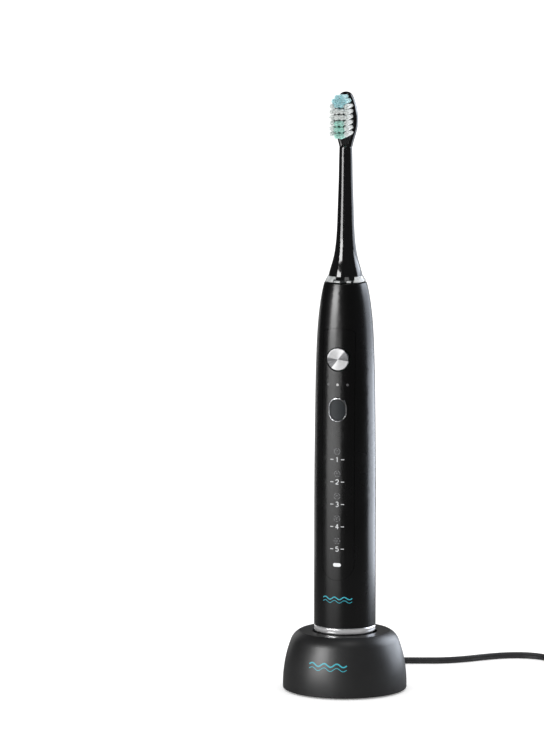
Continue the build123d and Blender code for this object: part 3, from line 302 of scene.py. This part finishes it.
def ink(name, colour, roughness=0.45):
    """Pad-printed ink with the slight unevenness of a screen."""
    mat, tree, shader = new_material(name)
    place = object_place(tree)
    fine = noise(tree, place, 1 / (0.2 * MM), detail=3.0)
    dark = tuple(part * 0.82 for part in colour)
    link(tree, mixed(tree, ranged(tree, fine, 0, 1), dark, colour), shader.inputs["Base Color"])
    link(tree, ranged(tree, fine, roughness * 0.9, roughness * 1.15), shader.inputs["Roughness"])
    bumped(tree, shader, fine, 0.003 * MM)
    return mat


BATTERY_MARK_BELOW = 60 * MM
DOTS_ABOVE = 130 * MM
MIDDLE_DOT_REACH = 1.2 * MM


def window_plastic():
    """Smoked windows: dark levels, two dim dots and a bright one, and a white battery mark."""
    mat, tree, shader = new_material("window_plastic")
    place = object_place(tree)
    apart = split(tree, place)
    fine = noise(tree, place, 1 / (0.5 * MM), detail=3.0)
    battery = ranged(tree, apart["Z"], 1, 0, BATTERY_MARK_BELOW, BATTERY_MARK_BELOW + 1 * MM)
    dots = ranged(tree, apart["Z"], 0, 1, DOTS_ABOVE, DOTS_ABOVE + 1 * MM)
    aside = worked_out(tree, "ABSOLUTE", apart["X"])
    near = ranged(tree, aside, 1, 0, MIDDLE_DOT_REACH, MIDDLE_DOT_REACH + 0.4 * MM)
    middle = worked_out(tree, "MULTIPLY", near, dots)
    colour = mixed(tree, ranged(tree, fine, 0, 1), (0.008, 0.008, 0.009), (0.014, 0.014, 0.016))
    for factor, lit in (
        (dots, (0.075, 0.075, 0.078)),
        (middle, (0.5, 0.5, 0.5)),
        (battery, (0.80, 0.81, 0.82)),
    ):
        colour = mixed(tree, factor, colour, lit)
    link(tree, colour, shader.inputs["Base Color"])
    link(tree, ranged(tree, fine, 0.22, 0.32), shader.inputs["Roughness"])
    return mat


def winding(name, colour):
    """Enamelled wire in layers: fine ribs round the coil."""
    mat, tree, shader = new_material(name)
    place = object_place(tree)
    ribs = add(tree, "ShaderNodeTexWave", wave_type="BANDS", bands_direction="Z")
    ribs.inputs["Scale"].default_value = 1 / (1.2 * MM)
    ribs.inputs["Distortion"].default_value = 0.6
    link(tree, place, ribs.inputs["Vector"])
    dark = tuple(part * 0.45 for part in colour)
    link(tree, mixed(tree, ribs.outputs["Fac"], dark, colour), shader.inputs["Base Color"])
    shader.inputs["Metallic"].default_value = 1.0
    link(tree, ranged(tree, ribs.outputs["Fac"], 0.25, 0.45, 0, 1), shader.inputs["Roughness"])
    bumped(tree, shader, ribs.outputs["Fac"], 0.05 * MM)
    return mat


def circuit_board():
    """Green solder mask with paler traces."""
    mat, tree, shader = new_material("circuit_board")
    place = object_place(tree)
    cells = add(tree, "ShaderNodeTexBrick", Scale=1 / (6 * MM))
    cells.inputs["Mortar Size"].default_value = 0.06
    cells.inputs["Color1"].default_value = (0.010, 0.075, 0.030, 1)
    cells.inputs["Color2"].default_value = (0.012, 0.085, 0.036, 1)
    cells.inputs["Mortar"].default_value = (0.045, 0.19, 0.085, 1)
    turn = add(tree, "ShaderNodeMapping")
    turn.inputs["Rotation"].default_value = (math.radians(90), 0, 0)
    link(tree, place, turn.inputs["Vector"])
    link(tree, turn.outputs["Vector"], cells.inputs["Vector"])
    link(tree, cells.outputs["Color"], shader.inputs["Base Color"])
    link(tree, ranged(tree, cells.outputs["Fac"], 0.30, 0.42, 0, 1), shader.inputs["Roughness"])
    return mat


BLACK = (0.0022, 0.0022, 0.0024)
POLISHED = 0.0005 * MM

looks = {
    "charger_plastic": plastic("charger_plastic", (0.0135, 0.0137, 0.0143), 0.38, spread=0.10),
    "inner_plastic": plastic("inner_plastic", (0.012, 0.012, 0.013), 0.5),
    "rubber": plastic("rubber", (0.012, 0.012, 0.012), 0.68, depth=0.01 * MM),
    "screw_steel": metal("screw_steel", (0.56, 0.56, 0.58), 0.30),
    "circuit_board": circuit_board(),
    "components": plastic("components", (0.02, 0.02, 0.022), 0.4),
    "indicator_light": plastic("indicator_light", (0.80, 0.80, 0.74), 0.3, spread=0.05),
    "copper_wire": winding("copper_wire", (0.80, 0.36, 0.16)),
    "ferrite": plastic("ferrite", (0.045, 0.045, 0.05), 0.55, depth=0.02 * MM),
    "motor_plastic": plastic("motor_plastic", (0.55, 0.54, 0.48), 0.45, spread=0.06),
    "cord_jacket": plastic("cord_jacket", (0.034, 0.034, 0.036), 0.36, depth=0.006 * MM,
                           spread=0.12),
    "plug_steel": metal("plug_steel", (0.62, 0.62, 0.64), 0.22, brush=(1, 0.05, 1)),
    "contact_metal": metal("contact_metal", (0.80, 0.62, 0.30), 0.25),
    "battery_case": plastic("battery_case", (0.03, 0.10, 0.28), 0.28, spread=0.08, coat=0.4),
    "handle_plastic": plastic("handle_plastic", BLACK, 0.26, spread=0.08),
    "panel_plastic": plastic("panel_plastic", BLACK, 0.25, grain=0.18 * MM, spread=0.08),
    "window_plastic": window_plastic(),
    "chrome_trim": metal("chrome_trim", (0.95, 0.95, 0.96), 0.12, depth=POLISHED, metallic=0.60),
    "dark_chrome": metal("dark_chrome", (0.05, 0.05, 0.054), 0.30),
    "rim_chrome": metal("rim_chrome", (0.82, 0.83, 0.85), 0.08, depth=POLISHED),
    "spun_aluminium": spun_metal(),
    "button_plastic": plastic("button_plastic", (0.012, 0.016, 0.019), 0.46, specular=0.25),
    "head_plastic": plastic("head_plastic", (0.005, 0.005, 0.0055), 0.09, spread=0.1, coat=0.3),
    "clear_plastic": clear_plastic(),
    "bristle_white": nylon("bristle_white", (0.86, 0.91, 0.89), (0.95, 0.98, 0.97)),
    "bristle_green": nylon("bristle_green", (0.46, 0.87, 0.75), (0.64, 0.95, 0.87)),
    "bristle_blue": nylon("bristle_blue", (0.42, 0.82, 0.87), (0.66, 0.93, 0.97)),
    "ink_pale": ink("ink_pale", (0.62, 0.63, 0.64)),
    "ink_faint": ink("ink_faint", (0.20, 0.205, 0.21)),
    "ink_teal": ink("ink_teal", (0.02, 0.42, 0.52)),
}

SHARP_EDGE = math.radians(32)
slot_of = {row["node"]: row["material_slot"] for row in frame["record"]["subparts"]}
for name, node in nodes.items():
    node.data.materials.clear()
    node.data.materials.append(looks[slot_of[name]])
    for face in node.data.polygons:
        face.use_smooth = True
    node.data.set_sharp_from_angle(angle=SHARP_EDGE)
    weighted = node.modifiers.new("weighted_normals", "WEIGHTED_NORMAL")
    weighted.keep_sharp = True

# -------------------------------------------------------------------------- new meshes


def skinned(build, rows, closed=False):
    """Faces between rings of corners; the ends are capped, or the last ring joins the first."""
    count = len(rows[0])
    for row, following in zip(rows, rows[1:] + (rows[:1] if closed else [])):
        for index in range(count):
            beside = (index + 1) % count
            build.faces.new((row[index], row[beside], following[beside], following[index]))
    if not closed:
        build.faces.new(rows[0][::-1])
        build.faces.new(rows[-1])


def finished_mesh(build, name):
    """The mesh of a build, with its faces turned outwards."""
    bmesh.ops.recalc_face_normals(build, faces=build.faces)
    mesh = bpy.data.meshes.new(name)
    build.to_mesh(mesh)
    build.free()
    return mesh


def mesh_object(name, mesh, body, look, smooth=True):
    """A new piece from a finished mesh, riding on a body with one of the looks."""
    for face in mesh.polygons:
        face.use_smooth = smooth
    mesh.materials.append(looks[look])
    piece = bpy.data.objects.new(name, mesh)
    bpy.context.scene.collection.objects.link(piece)
    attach(piece, body)
    return piece


# -------------------------------------------------------------------------------- cord

CORD_WIDTH = 3.0 * MM
STRAND_RADIUS = 0.69 * MM
GROOVE_ANGLE = math.radians(15)
STRAND_CORNERS = 9

# The route, in millimetres: out of the charger's back, then down to the floor, where the
# middle of the lead rests.
cord_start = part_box("cord_strain_relief")[1].y / MM
EXIT_HEIGHT = 5.4
REST = 1.5
lead_route = [
    (0.0, cord_start, EXIT_HEIGHT),
    (0.0, cord_start + 6.0, EXIT_HEIGHT),
    (1.2, cord_start + 12.6, 3.6),
    (5.0, cord_start + 18.7, 1.9),
    (11.8, cord_start + 23.2, REST),
    (20.8, 63.3, REST),
    (29.8, 66.2, REST),
    (37.4, 71.8, REST),
    (44.6, 79.2, REST),
    (53.2, 85.8, REST),
    (63.2, 88.3, REST),
    (72.8, 84.8, REST),
    (79.2, 76.6, REST),
    (81.2, 66.4, 1.6),
    (81.8, 56.4, 1.9),
]
COIL_CENTRE = (102.0, 61.0)
COIL_MID = 16.5
TURN_PITCH = 3.0
COIL_FLOOR = 2.1
COIL_STATIONS = ((1, 0), (0, 0), (-1, 0), (-1, 1), (-1, 2), (0, 2), (0, 1), (1, 1), (1, 2))
TURNS = 8.28
ENTRY_ANGLE = math.radians(212)
POINTS_A_TURN = 24
STATION_STEP = 0.25


def coil_turns():
    """Points of the tied coil: nine stations of a 3 by 3 bundle, one for each turn.

    The last part of each turn, STATION_STEP long, moves over to the next station.
    """
    points = []
    count = int(TURNS * POINTS_A_TURN)
    for index in range(count + 1):
        turn = index / POINTS_A_TURN
        station = min(int(turn), len(COIL_STATIONS) - 1)
        after = min(station + 1, len(COIL_STATIONS) - 1)
        part = max(0.0, (turn - station - (1 - STATION_STEP)) / STATION_STEP)
        part = part * part * (3 - 2 * part)
        here, there = COIL_STATIONS[station], COIL_STATIONS[after]
        radial = here[0] + (there[0] - here[0]) * part
        level = here[1] + (there[1] - here[1]) * part
        angle = ENTRY_ANGLE + 2 * math.pi * turn
        reach = COIL_MID + radial * TURN_PITCH
        points.append((
            COIL_CENTRE[0] + reach * math.cos(angle),
            COIL_CENTRE[1] + reach * math.sin(angle),
            COIL_FLOOR + level * TURN_PITCH,
        ))
    return points


PLUG_X = 130.0
PLUG_BACK = 76.0
PLUG_LEVEL = 4.0
tail_route = [
    (121.4, 52.6, 7.2),
    (127.6, 60.6, 5.3),
    (PLUG_X, 69.5, 4.2),
    (PLUG_X, PLUG_BACK, PLUG_LEVEL),
]


def spline_points(points):
    """Points along a smooth NURBS curve that follows a route, read from its mesh."""
    curve = bpy.data.curves.new("route", "CURVE")
    curve.dimensions = "3D"
    curve.resolution_u = 6
    spline = curve.splines.new("NURBS")
    spline.points.add(len(points) - 1)
    for control, point in zip(spline.points, points):
        control.co = (*(value * MM for value in point), 1)
    spline.order_u = 3
    spline.use_endpoint_u = True
    holder = bpy.data.objects.new("route", curve)
    bpy.context.scene.collection.objects.link(holder)
    bpy.context.view_layer.update()
    line = bpy.data.meshes.new_from_object(holder)
    places = [vertex.co.copy() for vertex in line.vertices]
    bpy.data.objects.remove(holder)
    return places


def twin_section():
    """Outline of the twin lead: two round strands side by side with a groove between."""
    outline = []
    centre = CORD_WIDTH / 2 - STRAND_RADIUS
    for side in (1, -1):
        for step in range(STRAND_CORNERS):
            share = step / (STRAND_CORNERS - 1)
            angle = -math.pi + GROOVE_ANGLE + share * (2 * math.pi - 2 * GROOVE_ANGLE)
            across = side * (centre + STRAND_RADIUS * math.cos(angle))
            outline.append((across, side * STRAND_RADIUS * math.sin(angle)))
    return outline


def twin_lead(name, path, roll):
    """The lead as one mesh swept along a path; roll(share) turns its section, in radians."""
    section = twin_section()
    build = bmesh.new()
    rows = []
    last = len(path) - 1
    for index, place in enumerate(path):
        before, after = path[max(index - 1, 0)], path[min(index + 1, last)]
        ahead = (after - before).normalized()
        side = ahead.cross(Vector((0, 0, 1))).normalized()
        up = side.cross(ahead)
        turn = roll(index / last)
        wide = side * math.cos(turn) + up * math.sin(turn)
        thin = up * math.cos(turn) - side * math.sin(turn)
        rows.append([build.verts.new(place + wide * across + thin * high)
                     for across, high in section])
    skinned(build, rows)
    return finished_mesh(build, name)


cord_path = spline_points(lead_route + coil_turns() + tail_route)
cord_length = sum((b - a).length for a, b in zip(cord_path, cord_path[1:]))


# Roll in degrees, and where the lean sets in as a share of the lead's length.
ON_EDGE = 84
LEAN = 40
LEAN_START, LEAN_LENGTH = 0.07, 0.04


def cord_roll(share):
    """On edge along the floor, then leaning so that the coil's turns nest."""
    lean = min(1.0, max(0.0, (share - LEAN_START) / LEAN_LENGTH))
    return math.radians(ON_EDGE - LEAN * lean)


cord = mesh_object("cord", twin_lead("cord", cord_path, cord_roll), "charger", "cord_jacket")
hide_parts("cord_lead", "cord_coil", "cord_tail")
print("cord length", round(cord_length, 3))

# ---------------------------------------------------------------------------- bristles

# Sizes in millimetres. The tufts stand in six rows, with a blue round of five at the tip.
NECK_TOP = 240.0
HEAD_TIP = 262.9
HEAD_MIDDLE = 252.0
HEAD_FRONT = 1.8
COLUMN = 1.05
OUTER_COLUMN = 3 * COLUMN
OUTER_COLUMN_TOP = 3.04
OUTER_START, OUTER_PITCH = 5.35, 2.35
INNER_START, INNER_PITCH = 4.4, 2.66
INNER_SHADES = ("green", "green", "green", "white", "white", "blue")
TIP_TRIO = (2.2, 3.55)
TIP_PAIR = (0.95, 1.85)
TUFT_LENGTH = 10.5
TUFT_SINK = 1.0
TUFT_ROOT = 0.74
TUFT_TIP = 1.06
FILAMENT = 0.135
FILAMENT_SIDES = 6
FILAMENTS_A_RING = (1, 6, 12, 18)
UNEVEN_LENGTH = 0.35
ROUNDING = 0.05
STRAY = 0.06
# Roots gather towards the middle of the head and tips spread, across and up.
ROOT_GATHER = (0.92, 0.985)
TIP_SPREAD = (1.07, 1.01)


def tuft_places():
    """Offset, height and slot of every tuft, as the holes in the brush head's plate."""
    places = []
    outer_rows = len(INNER_SHADES)
    for row in range(outer_rows):
        outer = OUTER_COLUMN_TOP if row == outer_rows - 1 else OUTER_COLUMN
        height = NECK_TOP + OUTER_START + row * OUTER_PITCH
        places += [(-outer, height, "white"), (outer, height, "white")]
    for row, shade in enumerate(INNER_SHADES):
        height = NECK_TOP + INNER_START + row * INNER_PITCH
        places += [(-COLUMN, height, shade), (COLUMN, height, shade)]
    places += [(side * TIP_TRIO[0], HEAD_TIP - TIP_TRIO[1], "blue") for side in (-1, 0, 1)]
    places += [(side * TIP_PAIR[0], HEAD_TIP - TIP_PAIR[1], "blue") for side in (-1, 1)]
    return places


def filament(build, root, tip, radius):
    """One bristle: a thin rod with a rounded end."""
    ahead = (tip - root).normalized()
    across = ahead.cross(Vector((0, 0, 1))).normalized()
    over = across.cross(ahead)
    length = (tip - root).length
    stations = ((0.0, 1.0), (0.5, 1.0), (1 - 0.6 * radius / length, 0.86), (1.0, 0.34))
    rows = []
    for share, scale in stations:
        rows.append([
            build.verts.new(
                root.lerp(tip, share)
                + (across * math.cos(2 * math.pi * side / FILAMENT_SIDES)
                   + over * math.sin(2 * math.pi * side / FILAMENT_SIDES)) * radius * scale
            )
            for side in range(FILAMENT_SIDES)
        ])
    skinned(build, rows)


def bristles(colour, node):
    """All tufts of one colour, each a bunch of filaments that spreads slightly."""
    draw = random.Random(colour)
    build = bmesh.new()
    for offset, height, shade in tuft_places():
        if shade != colour:
            continue
        lift = height - HEAD_MIDDLE
        for ring, count in enumerate(FILAMENTS_A_RING):
            for step in range(count):
                angle = 2 * math.pi * (step + 0.5 * (ring % 2)) / count
                reach = ring / 3 + draw.uniform(-0.05, 0.02)
                across, up = reach * math.cos(angle), reach * math.sin(angle)
                length = TUFT_LENGTH - draw.uniform(0.0, UNEVEN_LENGTH) - ROUNDING * ring**2
                root = Vector((
                    offset * ROOT_GATHER[0] + across * TUFT_ROOT,
                    -(HEAD_FRONT - TUFT_SINK),
                    HEAD_MIDDLE + lift * ROOT_GATHER[1] + up * TUFT_ROOT,
                ))
                tip = Vector((
                    offset * TIP_SPREAD[0] + across * TUFT_TIP + draw.uniform(-STRAY, STRAY),
                    -(HEAD_FRONT + length),
                    HEAD_MIDDLE + lift * TIP_SPREAD[1] + up * TUFT_TIP
                    + draw.uniform(-STRAY, STRAY),
                ))
                filament(build, root * MM, tip * MM, FILAMENT * MM)
    piece = mesh_object("filaments_" + colour, finished_mesh(build, node), "head",
                        "bristle_" + colour)
    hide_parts(node)


for colour in ("white", "green", "blue"):
    bristles(colour, "bristles_" + colour)

# ------------------------------------------------------------------------------ prints

# Sizes in millimetres, across and up the front of the object.
RAY_START = -60.0
INK_BOTTOM, INK_TOP = -0.03, 0.035


def surface_of(*names):
    """A search tree over CAD nodes, for laying prints on them."""
    corners, faces = [], []
    for name in names:
        mesh = nodes[name].data
        first = len(corners)
        corners += [vertex.co.copy() for vertex in mesh.vertices]
        faces += [[first + index for index in face.vertices] for face in mesh.polygons]
    return BVHTree.FromPolygons(corners, faces)


def laid_point(surface, across, height, lift):
    """Where a ray from the front meets a surface, lifted off along its normal."""
    start = Vector((across, RAY_START, height)) * MM
    place, normal = surface.ray_cast(start, Vector((0, 1, 0)))[:2]
    return place + normal * (lift * MM)


def laid_print(name, outlines, surface, body, look):
    """Flat outlines (lists of across, height) as thin closed ink, laid on a surface."""
    build = bmesh.new()
    for outline in outlines:
        under, over = (
            [build.verts.new(laid_point(surface, across, height, lift))
             for across, height in outline]
            for lift in (INK_BOTTOM, INK_TOP)
        )
        count = len(outline)
        # Each outline is a strip: its first half runs along one edge, the rest comes back.
        for index in range(count // 2 - 1):
            ahead, back, back_ahead = index + 1, count - 1 - index, count - 2 - index
            build.faces.new([over[k] for k in (index, ahead, back_ahead, back)])
            build.faces.new([under[k] for k in (back, back_ahead, ahead, index)])
        for index in range(count):
            beside = (index + 1) % count
            build.faces.new((under[index], under[beside], over[beside], over[index]))
    mesh_object(name, finished_mesh(build, name), body, look, smooth=False)


def stroke(points, width):
    """A strip outline of a width along points."""
    left, right = [], []
    last = len(points) - 1
    for index, (x, z) in enumerate(points):
        before, after = points[max(index - 1, 0)], points[min(index + 1, last)]
        run = math.hypot(after[0] - before[0], after[1] - before[1])
        side = (-(after[1] - before[1]) / run, (after[0] - before[0]) / run)
        left.append((x + side[0] * width / 2, z + side[1] * width / 2))
        right.append((x - side[0] * width / 2, z - side[1] * width / 2))
    return left + right[::-1]


def arc(centre, radius, start, end, steps=8):
    """Points along an arc, in degrees."""
    return [
        (centre[0] + radius * math.cos(math.radians(start + (end - start) * k / steps)),
         centre[1] + radius * math.sin(math.radians(start + (end - start) * k / steps)))
        for k in range(steps + 1)
    ]


def line(*corners, steps=3):
    """Points along straight runs."""
    points = []
    for (x0, z0), (x1, z1) in zip(corners, corners[1:]):
        for k in range(steps):
            points.append((x0 + (x1 - x0) * k / steps, z0 + (z1 - z0) * k / steps))
    return points + [corners[-1]]


def digit(number):
    """Strokes of a digit 1 to 5 in a box about 1.3 wide and 2.1 high round the origin."""
    w, h = 0.62, 1.05
    return {
        1: [line((-0.35, h - 0.45), (0.05, h)), line((0.05, h), (0.05, -h), steps=4)],
        2: [arc((0, h - w), w, 165, -35), line((0.51, h - w - 0.36), (-w, -h + 0.1)),
            line((-w, -h + 0.1), (w, -h + 0.1))],
        3: [arc((0, h - 0.52), 0.52, 150, -90), arc((0, -h + 0.56), 0.56, 90, -150)],
        4: [line((0.3, -h), (0.3, h), steps=4), line((0.3, h), (-w, -0.35)),
            line((-w, -0.35), (w + 0.1, -0.35))],
        5: [line((0.5, h - 0.1), (-0.42, h - 0.1)), line((-0.42, h - 0.1), (-0.48, 0.08)),
            arc((0, -h + 0.66), 0.66, 130, -150)],
    }[number]


LEVELS = 5
LEVEL_TOP, LEVEL_PITCH = 107.2, 9.85
WORD_DROP = 3.55
DIGIT_STROKE = 0.36
DASH_NEAR, DASH_FAR, DASH_STROKE = 1.7, 3.1, 0.34
RING_RADIUS, RING_GAP, RING_STROKE = 1.3, 14, 0.17
CORE_RADIUS, CORE_STROKE = 0.45, 0.16


def level_words():
    """The number of each level between two dashes."""
    strips = []
    for number in range(1, LEVELS + 1):
        height = LEVEL_TOP - (number - 1) * LEVEL_PITCH - WORD_DROP
        for points in digit(number):
            strips.append(stroke([(x, z + height) for x, z in points], DIGIT_STROKE))
        for side in (-1, 1):
            dash = line((side * DASH_NEAR, height), (side * DASH_FAR, height))
            strips.append(stroke(dash, DASH_STROKE))
    return strips


def level_icons():
    """A broken ring for each level, with one part more than its number, round a short arc."""
    strips = []
    for number in range(1, LEVELS + 1):
        centre = (0, LEVEL_TOP - (number - 1) * LEVEL_PITCH)
        span = 360 / (number + 1)
        for step in range(number + 1):
            start = 90 + step * span
            part = arc(centre, RING_RADIUS, start + RING_GAP, start + span - RING_GAP)
            strips.append(stroke(part, RING_STROKE))
        strips.append(stroke(arc(centre, CORE_RADIUS, 30, 60 + 50 * number), CORE_STROKE))
    return strips


WAVE_TURNS = 3
WAVE_STEPS = 40
CHARGER_MARK_ACROSS = -0.9


def wave(centre, width, rise):
    """Points along a flat sine wave."""
    return [
        (centre[0] + width * (k / WAVE_STEPS - 0.5),
         centre[1] + rise * math.sin(2 * math.pi * WAVE_TURNS * k / WAVE_STEPS))
        for k in range(WAVE_STEPS + 1)
    ]


handle_surface = surface_of("handle_body", "control_panel", "indicator_windows")
laid_print("level_numbers", level_words(), handle_surface, "handle", "ink_pale")
laid_print("level_rings", level_icons(), handle_surface, "handle", "ink_faint")
laid_print("handle_wave", [
    stroke(wave((0, 42.4), 13.0, 0.55), 0.42),
    stroke(wave((0, 40.9), 13.0, 0.55), 0.22),
], handle_surface, "handle", "ink_teal")
laid_print("charger_wave", [
    stroke(wave((CHARGER_MARK_ACROSS, 14.9), 17.0, 0.7), 0.55),
    stroke(wave((CHARGER_MARK_ACROSS, 13.1), 17.0, 0.7), 0.28),
], surface_of("charger_shell"), "charger", "ink_teal")

# ---------------------------------------------------------------- mode button's rounded rim

nodes["mode_button_rim"].data.materials[0] = looks["dark_chrome"]

# Sizes in millimetres.
RIM_SIDE = 3.85
RIM_STRAIGHT = 2.3
BEAD_SINK = 0.12
BEAD_SIDE = 0.13
BEAD_TOP = 0.42
BEAD_BOTTOM = 0.21
BEAD_SIDES = 14
BEAD_STEPS = 36


def bead_radius(rise):
    """The bead's radius at a height from the rim's middle: full at the top, thin at the sides."""
    share = min(1.0, abs(rise) / (RIM_SIDE + RIM_STRAIGHT / 2)) ** 3
    return BEAD_SIDE + ((BEAD_TOP if rise > 0 else BEAD_BOTTOM) - BEAD_SIDE) * share


def rim_bead(name):
    """A round bead that runs along the flat rim, sunk a little into it."""
    rim_low, rim_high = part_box("mode_button_rim")
    level = (rim_low.z + rim_high.z) / 2 / MM
    surface = surface_of("mode_button_rim")
    oval = arc((0, level + RIM_STRAIGHT / 2), RIM_SIDE, 0, 180, steps=BEAD_STEPS)
    oval += arc((0, level - RIM_STRAIGHT / 2), RIM_SIDE, 180, 360, steps=BEAD_STEPS)
    centres = [laid_point(surface, across, height, -BEAD_SINK) for across, height in oval]
    build = bmesh.new()
    rows = []
    for index, place in enumerate(centres):
        ahead = (centres[(index + 1) % len(centres)] - centres[index - 1]).normalized()
        outward = Vector((place.x, place.y, 0)).normalized()
        aside = ahead.cross(outward).normalized()
        outward = aside.cross(ahead)
        radius = bead_radius(oval[index][1] - level) * MM
        rows.append([
            build.verts.new(place + (outward * math.cos(2 * math.pi * side / BEAD_SIDES)
                                     + aside * math.sin(2 * math.pi * side / BEAD_SIDES)) * radius)
            for side in range(BEAD_SIDES)
        ])
    skinned(build, rows, closed=True)
    return finished_mesh(build, name)


bead = mesh_object("mode_rim_bead", rim_bead("mode_rim_bead"), "handle", "rim_chrome")

# ------------------------------------------------------------------------------ camera

CAMERA_AZIMUTH = math.radians(16)
CAMERA_DISTANCE = 2.100
CAMERA_HEIGHT = 0.424
CAMERA_PITCH = math.radians(7.64)
CAMERA_SIDESTEP = 0.0320
CAMERA_LENS = 237.87
CAMERA_SENSOR = 36
right = Vector((math.cos(CAMERA_AZIMUTH), math.sin(CAMERA_AZIMUTH), 0))
towards = Vector((math.sin(CAMERA_AZIMUTH), -math.cos(CAMERA_AZIMUTH), 0))
camera_data = bpy.data.cameras.new("camera")
camera_data.lens = CAMERA_LENS
camera_data.sensor_width = CAMERA_SENSOR
camera = bpy.data.objects.new("camera", camera_data)
bpy.context.scene.collection.objects.link(camera)
camera.location = towards * CAMERA_DISTANCE - right * CAMERA_SIDESTEP + Vector(
    (0, 0, CAMERA_HEIGHT))
looking = -towards * math.cos(CAMERA_PITCH) - Vector((0, 0, math.sin(CAMERA_PITCH)))
camera.rotation_euler = looking.to_track_quat("-Z", "Y").to_euler()
bpy.context.scene.camera = camera

# ------------------------------------------------------------------------------ lights


def softbox(name, azimuth, spread, low, high, distance, radiance, colour=(1, 1, 1)):
    """An upright light at an angle round the object from the camera, positive to its right.

    It is seen in reflections only; the plain even light of the studio comes from all round.
    """
    width = 2 * distance * math.tan(math.radians(spread))
    light = bpy.data.lights.new(name, "AREA")
    light.shape = "RECTANGLE"
    light.size = width
    light.size_y = high - low
    light.energy = radiance * math.pi * width * (high - low)
    light.color = colour
    angle = math.radians(azimuth)
    place = (towards * math.cos(angle) + right * math.sin(angle)) * distance
    holder = bpy.data.objects.new(name, light)
    bpy.context.scene.collection.objects.link(holder)
    holder.location = (place.x, place.y, (low + high) / 2)
    holder.rotation_euler = (-place).to_track_quat("-Z", "Y").to_euler()
    holder.visible_diffuse = False
    holder.visible_camera = False
    return holder


# Azimuth and spread in degrees, then low edge, high edge, distance (metres) and radiance.
LEFT, LEFT_SPREAD = -46, 27
RIGHT, RIGHT_SPREAD = 123, 27
COOL = (0.84, 0.90, 1.0)
softbox("left_near", LEFT, LEFT_SPREAD, 0.002, 0.085, 0.30, 1.9)
softbox("left_low", LEFT, LEFT_SPREAD, 0.02, 0.14, 0.8, 3.4)
softbox("left_middle", LEFT - 8, 14, 0.14, 0.24, 0.8, 9.0)
softbox("left_high", LEFT - 3, 14, 0.24, 0.50, 0.8, 14.0)
softbox("right_near", RIGHT, RIGHT_SPREAD, 0.002, 0.12, 0.25, 4.5, colour=COOL)
softbox("right_middle", RIGHT, RIGHT_SPREAD, 0.12, 0.30, 0.25, 2.3, colour=COOL)
softbox("right_high", 115, 25, 0.30, 0.95, 1.0, 4.0, colour=COOL)
softbox("left_back", -150, 14, 0.002, 0.16, 0.30, 0.6)
softbox("back", 180, 30, 0.06, 0.60, 1.2, 0.18)
top = softbox("top", 10, 25, 1.0, 1.6, 0.5, 2.0)
top.rotation_euler = (-top.location).to_track_quat("-Z", "Y").to_euler()

# ------------------------------------------------------------------------------ studio

# Even white to the eye and on matt surfaces, nearly black in reflections.
SEEN_STRENGTH = 1.08
REFLECTED_STRENGTH = 0.04
world = bpy.data.worlds.new("studio")
bpy.context.scene.world = world
world.use_nodes = True
sky = world.node_tree
even = sky.nodes["Background"]
even.inputs["Color"].default_value = (1, 1, 1, 1)
even.inputs["Strength"].default_value = SEEN_STRENGTH
dim = add(sky, "ShaderNodeBackground", Color=(1, 1, 1, 1), Strength=REFLECTED_STRENGTH)
rays = add(sky, "ShaderNodeLightPath")
blend = add(sky, "ShaderNodeMixShader")
link(sky, rays.outputs["Is Glossy Ray"], blend.inputs[0])
link(sky, even.outputs["Background"], blend.inputs[1])
link(sky, dim.outputs["Background"], blend.inputs[2])
link(sky, blend.outputs["Shader"], sky.nodes["World Output"].inputs["Surface"])

# ------------------------------------------------------------------------------- floor

# Pale. Reflections see it fade with distance, as a lit table does in a dark room.
# To the eye the table glows a little, which keeps the shadow round the charger pale.
FLOOR_SIZE = 12
FLOOR_GLOW = 0.26
FLOOR_SEEN = (0.97, 0.97, 0.97)
FLOOR_NEAR, FLOOR_FAR = (0.22, 0.22, 0.22), (0.03, 0.03, 0.03)
FADE_START, FADE_END = 0.16, 0.42
floor_mat, floor_tree, floor_shader = new_material("floor")
reach = add(floor_tree, "ShaderNodeVectorMath", operation="LENGTH")
link(floor_tree, object_place(floor_tree), reach.inputs[0])
fade = mixed(floor_tree, ranged(floor_tree, reach.outputs["Value"], 0, 1, FADE_START, FADE_END),
             FLOOR_NEAR, FLOOR_FAR)
reflected = add(floor_tree, "ShaderNodeLightPath").outputs["Is Glossy Ray"]
link(floor_tree, mixed(floor_tree, reflected, FLOOR_SEEN, fade),
     floor_shader.inputs["Base Color"])
floor_shader.inputs["Roughness"].default_value = 0.9
floor_shader.inputs["Specular IOR Level"].default_value = 0.0
floor_shader.inputs["Emission Color"].default_value = (1.0, 1.0, 1.0, 1.0)
link(floor_tree, ranged(floor_tree, reflected, FLOOR_GLOW, 0, 0, 1),
     floor_shader.inputs["Emission Strength"])
bpy.ops.mesh.primitive_plane_add(size=FLOOR_SIZE)
floor = bpy.context.object
floor.name = "floor"
floor.data.materials.append(floor_mat)

bpy.context.scene.view_settings.view_transform = "Standard"
